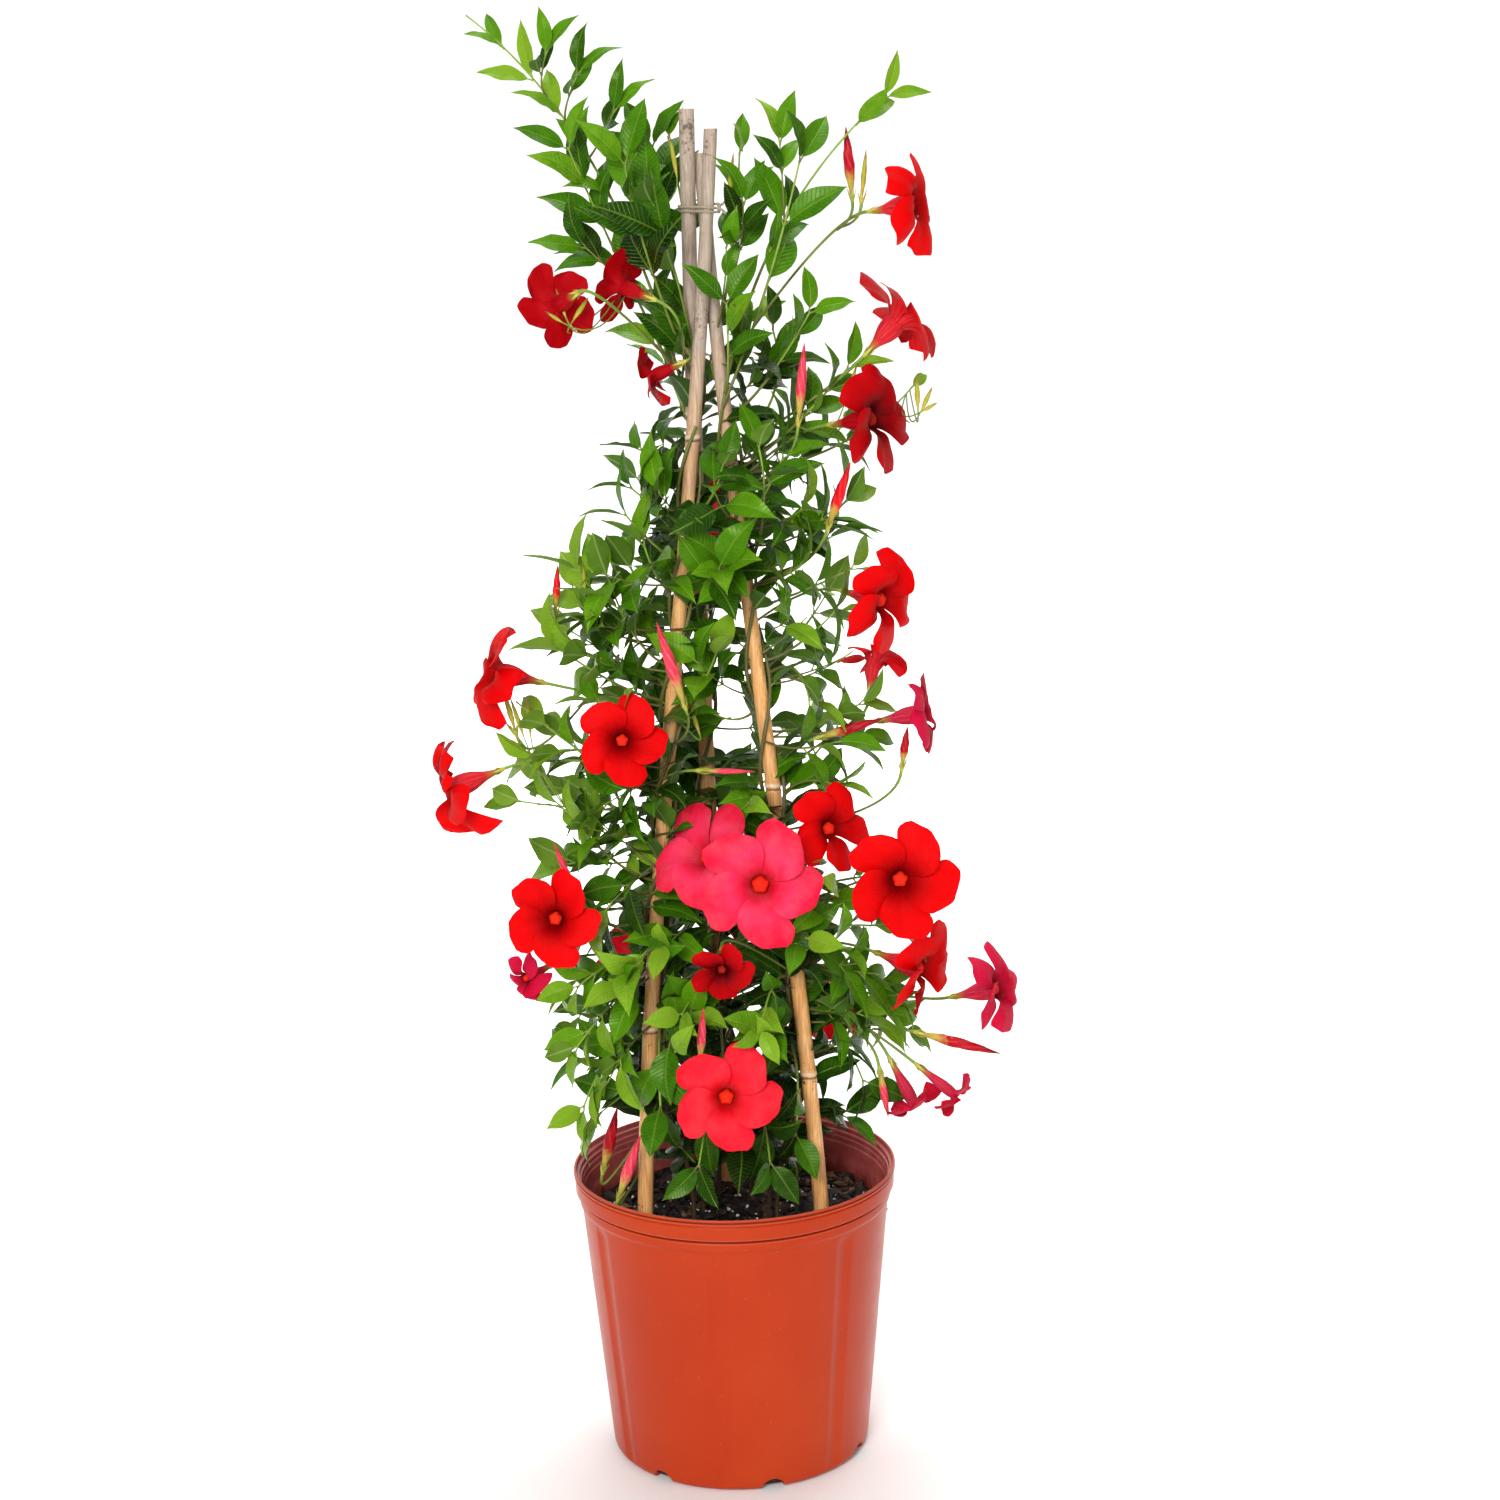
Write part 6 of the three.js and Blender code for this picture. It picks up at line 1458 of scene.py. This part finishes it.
def petal_outside(name, main, stripe, foot):
    """The back of a petal and the tube: paler, smooth, striped along, and yellow-green at the foot."""
    material, tree, out = start_material(name)
    reach = add(tree, "Attribute", attribute_name="reach").outputs["Fac"]
    across = add(tree, "Attribute", attribute_name="across").outputs["Fac"]
    fan = add(tree, "CombineXYZ", {0: across, 1: reach})
    squeezed = add(tree, "Mapping", {"Vector": fan, "Scale": (6, 0.8, 1)})
    lines = add(tree, "TexNoise", {"Vector": squeezed, "Scale": 2.4, "Detail": 4})
    stripes = add(tree, "MapRange", {"Value": lines, 1: 0.45, 2: 0.62, 3: 0.0, 4: 0.75})
    on_tube = add(tree, "MapRange", {"Value": reach, 1: 0.12, 2: 0.45, 3: 1.0, 4: 0.2})
    fading = add(tree, "Math", {0: stripes, 1: on_tube}, operation="MULTIPLY")
    striped = add(tree, "Mix", {"Factor": fading, 6: linear(main), 7: linear(stripe)}, data_type="RGBA")
    ragged = add(tree, "Math", {0: lines, 1: 0.4, 2: reach}, operation="MULTIPLY_ADD")
    low = add(tree, "MapRange", {"Value": ragged, 1: -0.58, 2: -0.28, 3: 1.0, 4: 0.0})
    based = add(tree, "Mix", {"Factor": low, 6: striped.outputs[2], 7: linear(foot)}, data_type="RGBA")
    ridges = add(tree, "Bump", {"Height": lines, "Strength": 0.5, "Distance": 0.0008})
    skin = add(tree, "BsdfPrincipled", {
        "Base Color": based.outputs[2], "Roughness": 0.5, "Normal": ridges, "IOR": 1.4,
        "Specular IOR Level": 0.1})
    through = add(tree, "BsdfTranslucent", {"Color": based.outputs[2], "Normal": ridges})
    petal = add(tree, "MixShader", {0: 0.3, 1: skin, 2: through})
    tree.links.new(petal.outputs[0], out.inputs[0])
    return material


# Round the throat's mouth each flower has a darker ring painted in as the throat's shadow: deep wine in
# scarlet, cerise and crimson ones, slight in rose and coral ones; crimson ones are deep all over. The last
# colour of each is painted on in pale patches as highlights.
PETALS = {
    "red": (petal_inside("petal_velvet_scarlet", [
        (0.2, "#b01208"), (0.3, "#8c0206"), (0.46, "#c00104"), (0.68, "#e60104"), (1.0, "#ee0409")],
        "#fa0c0a"),
        petal_outside("petal_back_scarlet", "#de0614", "#f0606c", "#b89e40")),
    "rose": (petal_inside("petal_velvet_rose", [
        (0.2, "#e82c14"), (0.3, "#dc1430"), (0.42, "#f4244c"), (0.62, "#fd3864"), (0.85, "#fa264c"),
        (1.0, "#f41a40")],
        "#ff8ea4"),
        petal_outside("petal_back_rose", "#ee1a3c", "#ff7c8c", "#b89e40")),
    "coral": (petal_inside("petal_velvet_coral", [
        (0.2, "#e02810"), (0.3, "#d80c18"), (0.42, "#f41628"), (0.62, "#fd2438"), (1.0, "#fa1a30")],
        "#ff7078"),
        petal_outside("petal_back_coral", "#ea1022", "#ff6070", "#b89e40")),
    "cerise": (petal_inside("petal_velvet_cerise", [
        (0.2, "#a0140a"), (0.3, "#8c0418"), (0.44, "#c0062c"), (0.66, "#d80c3c"), (1.0, "#dc1444")],
        "#f0406c"),
        petal_outside("petal_back_cerise", "#d20830", "#ee6484", "#b89e40")),
    "crimson": (petal_inside("petal_velvet_crimson", [
        (0.2, "#90100a"), (0.3, "#3c0206"), (0.44, "#7c0208"), (0.66, "#b8020a"), (1.0, "#cc060e")],
        "#d80c10"),
        petal_outside("petal_back_crimson", "#b8020c", "#d02030", "#b0983e")),
}


def anther_cone(name, stops):
    """Anthers: dry, mealy tissue pressed into a cone."""
    material, tree, out = start_material(name)
    where = add(tree, "TexCoord").outputs["Object"]
    meal = add(tree, "TexNoise", {"Vector": where, "Scale": 800, "Detail": 3})
    shade = add(tree, "ValToRGB", {"Fac": meal}, stops)
    dusty = add(tree, "Bump", {"Height": meal, "Strength": 0.6, "Distance": 0.0004})
    cone = add(tree, "BsdfPrincipled", {
        "Base Color": shade, "Roughness": 0.7, "Normal": dusty, "Specular IOR Level": 0.15})
    tree.links.new(cone.outputs[0], out.inputs[0])
    return material


anthers = anther_cone("anther_cone_mealy_orange", [(0.3, "#cc1608"), (0.6, "#e8260e"), (0.85, "#f8481e")])
# The crimson flowers' cones are a darker copy, painted as the shade of their deep throats.
anthers_in_painted_shade = anther_cone("anther_cone_mealy_painted_shade", [(0.3, "#7c0a05"), (0.6, "#a8160a"), (0.85, "#cc2c14")])
SPECIAL = {
    "bloom_above_pot": "coral", "bloom_far_right": "cerise", "bloom_slender": "cerise",
    "bloom_slender_small": "cerise", "bloom_lower_left_small": "cerise", "bloom_right_trumpet": "cerise"}
for index, (name, face, direction, width, length, colour, bend_back, parent) in enumerate(BLOOMS):
    points, faces, kinds, reaches, acrosses = flower_points(width, length, bend_back, 41 + index)
    points = np.array(face) + points @ facing(unit(direction))
    marks = {"reach": reaches, "across": acrosses}
    skins = PETALS[SPECIAL.get(name, colour)]
    cone = anthers_in_painted_shade if colour == "crimson" else anthers
    flower = make_piece(name, points, faces, [*skins, cone], kinds, marks, sharp=60)
    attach(flower, "root")
    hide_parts(name)

# ----------------------------------------------------------
# The buds: petals still furled round each other in a long spiral, coloured towards the tip and
# yellow-green where they come out of the calyx.
BUD_OUTLINE = ((0, 0.36), (0.04, 0.4), (0.15, 0.62), (0.3, 0.92), (0.42, 1.0), (0.55, 0.93),
               (0.68, 0.76), (0.8, 0.53), (0.9, 0.3), (0.96, 0.15), (1.0, 0.03))


def bud_skin(name, tip, main, edge):
    """Furled petals: silky, each lap's edge a little lighter, running out into yellow-green below."""
    material, tree, out = start_material(name)
    where = add(tree, "TexCoord").outputs["Object"]
    reach = add(tree, "Attribute", attribute_name="reach").outputs["Fac"]
    lap = add(tree, "Attribute", attribute_name="across").outputs["Fac"]
    streaks = add(tree, "TexNoise", {"Vector": where, "Scale": 240, "Detail": 4})
    place = add(tree, "Math", {0: streaks, 1: 0.3, 2: reach}, operation="MULTIPLY_ADD")
    shade = add(tree, "ValToRGB", {"Fac": place}, [
        (0.15, "#989c3c"), (0.36, "#bda748"), (0.52, main), (0.85, main), (1.0, tip)])
    lit = add(tree, "MapRange", {"Value": lap, 1: 0.55, 2: 1.0, 3: 0.0, 4: 0.55})
    edged = add(tree, "Mix", {"Factor": lit, 6: shade, 7: linear(edge)}, data_type="RGBA")
    silk = add(tree, "Bump", {"Height": streaks, "Strength": 0.3, "Distance": 0.0004})
    skin = add(tree, "BsdfPrincipled", {
        "Base Color": edged.outputs[2], "Roughness": 0.42, "Normal": silk, "IOR": 1.4,
        "Specular IOR Level": 0.2,
        "Subsurface Weight": 0.1, "Subsurface Radius": (0.003, 0.001, 0.0006), "Subsurface Scale": 0.5})
    tree.links.new(skin.outputs[0], out.inputs[0])
    return material


BUD_SKINS = {
    "red": bud_skin("bud_silk_scarlet", "#b3060f", "#d5101c", "#ee5a50"),
    "rose": bud_skin("bud_silk_rose", "#c8203a", "#dd3a50", "#f2949a"),
    "crimson": bud_skin("bud_silk_crimson", "#82050f", "#b00c1c", "#d8504f"),
    "green": bud_skin("bud_silk_green", "#8a6a2c", "#a3a034", "#bcb850"),
}


def furled(base, tip, radius, rings, sides):
    """Points, faces, and reach and lap of each point of petals furled round each other."""
    length = np.linalg.norm(np.subtract(tip, base))
    points, faces, reaches, laps = [], [], [], []
    for share in np.linspace(0, 1, rings + 1):
        for n in range(sides):
            angle = 2 * math.pi * n / sides
            lap = (5 * (n / sides + 0.75 * share)) % 1
            puffed = 0.9 + 0.2 * lap ** 1.5 * min(1, share * 4)
            out_to = np.interp(share, *zip(*BUD_OUTLINE)) * radius * puffed
            points.append((out_to * math.cos(angle), out_to * math.sin(angle), share * length))
            reaches.append(share)
            laps.append(lap)
    for low in range(0, rings * sides, sides):
        high = low + sides
        faces += [(low + n, low + (n + 1) % sides, high + (n + 1) % sides, high + n) for n in range(sides)]
    faces += [tuple(range(sides - 1, -1, -1)), tuple(range(rings * sides, (rings + 1) * sides))]
    points = np.array(base) + np.array(points) @ facing(unit(np.subtract(tip, base)))
    return points, faces, reaches, laps


for name, base, tip, radius, colour, parent in BUDS:
    points, faces, reaches, laps = furled(base, tip, radius, 24, 40)
    marks = {"reach": reaches, "across": laps}
    bud = make_piece(name, points, faces, [BUD_SKINS[colour]], marks=marks, sharp=50)
    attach(bud, "root")
    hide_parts(name)

# ----------------------------------------------------------
# The youngest buds and unopened leaves: slim green spikes in twos and threes at the ends of
# shoots, bronze at the point, each on a thread of a stalk.
# Each one's vine, foot, tip and greatest radius.
YOUNG = [("back_2", (-116, -62, 993), (-123, -62, 1016), 1.9),
         ("back_2", (-110, -62, 991), (-97, -62, 1009), 2.0),
         ("back_2", (-119, -60, 989), (-132, -60, 998), 1.6),
         ("back_2", (-25, -6, 1099), (-30, -6, 1133), 1.9),
         ("right_1", (164, -52, 912), (163, -52, 940), 2.2),
         ("right_1", (167, -50, 911), (176, -50, 930), 2.0),
         ("right_1", (167, -50, 910), (180, -50, 917), 1.7),
         ("right_1", (16, -6, 1080), (21, -6, 1118), 2.2),
         ("left_1", (-165, -40, 649), (-175, -40, 683), 2.0),
         ("left_1", (-159, -42, 649), (-161, -42, 681), 2.0),
         ("left_1", (-168, -40, 646), (-180, -40, 662), 1.6),
         ("left_1", (-110, -30, 760), (-111, -30, 792), 1.8),
         ("left_1", (-19, -40, 646), (-28, -40, 676), 1.8),
         ("right_2", (107, -30, 919), (117, -30, 949), 1.9)]
for name in VINES:
    points, faces, kinds, marks = [], [], [], {"reach": [], "across": [], "youth": []}
    for owner, foot, tip, radius in YOUNG:
        if owner == name:
            more = furled(foot, tip, radius, 12, 15)
            start = len(points)
            points += list(more[0])
            faces += [tuple(start + n for n in face) for face in more[1]]
            kinds += [0] * len(more[1])
            marks["reach"] += more[2]
            marks["across"] += more[3]
            marks["youth"] += [0.8] * len(more[0])
            foot, below = np.array(foot, float), unit(np.subtract(foot, tip))
            wood = on_wood(name, foot + 6 * below)
            path = bent_route(wood, foot + 0.4 * np.linalg.norm(wood - foot) * below, foot - 0.5 * below, 8)
            more = sweep(path, [0.6] * 9, 6, len(points))
            points += list(more[0])
            faces += more[1]
            kinds += [1] * len(more[1])
            marks["reach"] += [0.0] * len(more[0])
            marks["across"] += [0.0] * len(more[0])
            marks["youth"] += [0.75] * len(more[0])
    if points:
        skins = [BUD_SKINS["green"], stem_skin]
        spikes = make_piece("young_buds_" + name, points, faces, skins, kinds, marks, sharp=50)
        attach(spikes, "root")
        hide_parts("vine_" + name)

# ----------------------------------------------------------
# The studio: a plain pale floor under a pale surround, one large soft lamp high on the left, a
# weaker one on the right, one overhead, one on the backdrop, and the camera.
# Painted board: near white, matt, with only the faintest unevenness.
board, tree, out = start_material("painted_board_matt_white")
where = add(tree, "TexCoord").outputs["Object"]
cloud = add(tree, "TexNoise", {"Vector": where, "Scale": 3, "Detail": 3})
shade = add(tree, "ValToRGB", {"Fac": cloud}, [(0.3, "#f1f0ee"), (0.7, "#f6f5f3")])
paint = add(tree, "BsdfPrincipled", {"Base Color": shade, "Roughness": 0.9})
tree.links.new(paint.outputs[0], out.inputs[0])

bowl = [(0, 0), (3000, 0), (6000, 0), (8000, 120), (9500, 600), (10600, 1600), (11200, 3000), (11500, 4800)]
floor_points, floor_faces = turned(bowl, 96)
floor = make_piece("studio_floor", floor_points, floor_faces, [board])

scene = bpy.context.scene
world = bpy.data.worlds.new("pale_surround")
world.use_nodes = True
world.node_tree.nodes["Background"].inputs["Color"].default_value = linear("#f7f7f6")
world.node_tree.nodes["Background"].inputs["Strength"].default_value = 0.38
scene.world = world
scene.view_settings.view_transform = "Standard"


def soft_lamp(name, place, size, power, target=(0, 0, 0.6)):
    """A square soft lamp aimed at the middle of the plant or at another spot."""
    data = bpy.data.lights.new(name, "AREA")
    data.shape, data.size, data.energy = "SQUARE", size, power
    lamp = bpy.data.objects.new(name, data)
    lamp.location = place
    lamp.rotation_euler = (Vector(target) - Vector(place)).to_track_quat("-Z", "Y").to_euler()
    scene.collection.objects.link(lamp)


soft_lamp("lamp_left", (-0.65, -2.85, 1.8), 1.1, 84)
soft_lamp("lamp_right", (1.8, -2.2, 1.3), 1.4, 12)
soft_lamp("lamp_above", (0.2, 0.6, 3.0), 1.6, 44)
soft_lamp("lamp_backdrop", (0, 2.6, 4.4), 4.0, 620, (0, 7.5, 0.6))

camera_data = bpy.data.cameras.new("camera")
camera_data.lens, camera_data.sensor_width = 67.46, 36.0
camera = bpy.data.objects.new("camera", camera_data)
yaw, pitch, roll = math.radians(0.556), math.radians(12.365), math.radians(1.411)
aim = Matrix.Rotation(-yaw, 4, "Z") @ Matrix.Rotation(math.pi / 2 - pitch, 4, "X")
aim = aim @ Matrix.Rotation(-roll, 4, "Z")
camera.matrix_world = Matrix.Translation((0, -2.31943, 1.13217)) @ aim
scene.collection.objects.link(camera)
scene.camera = camera
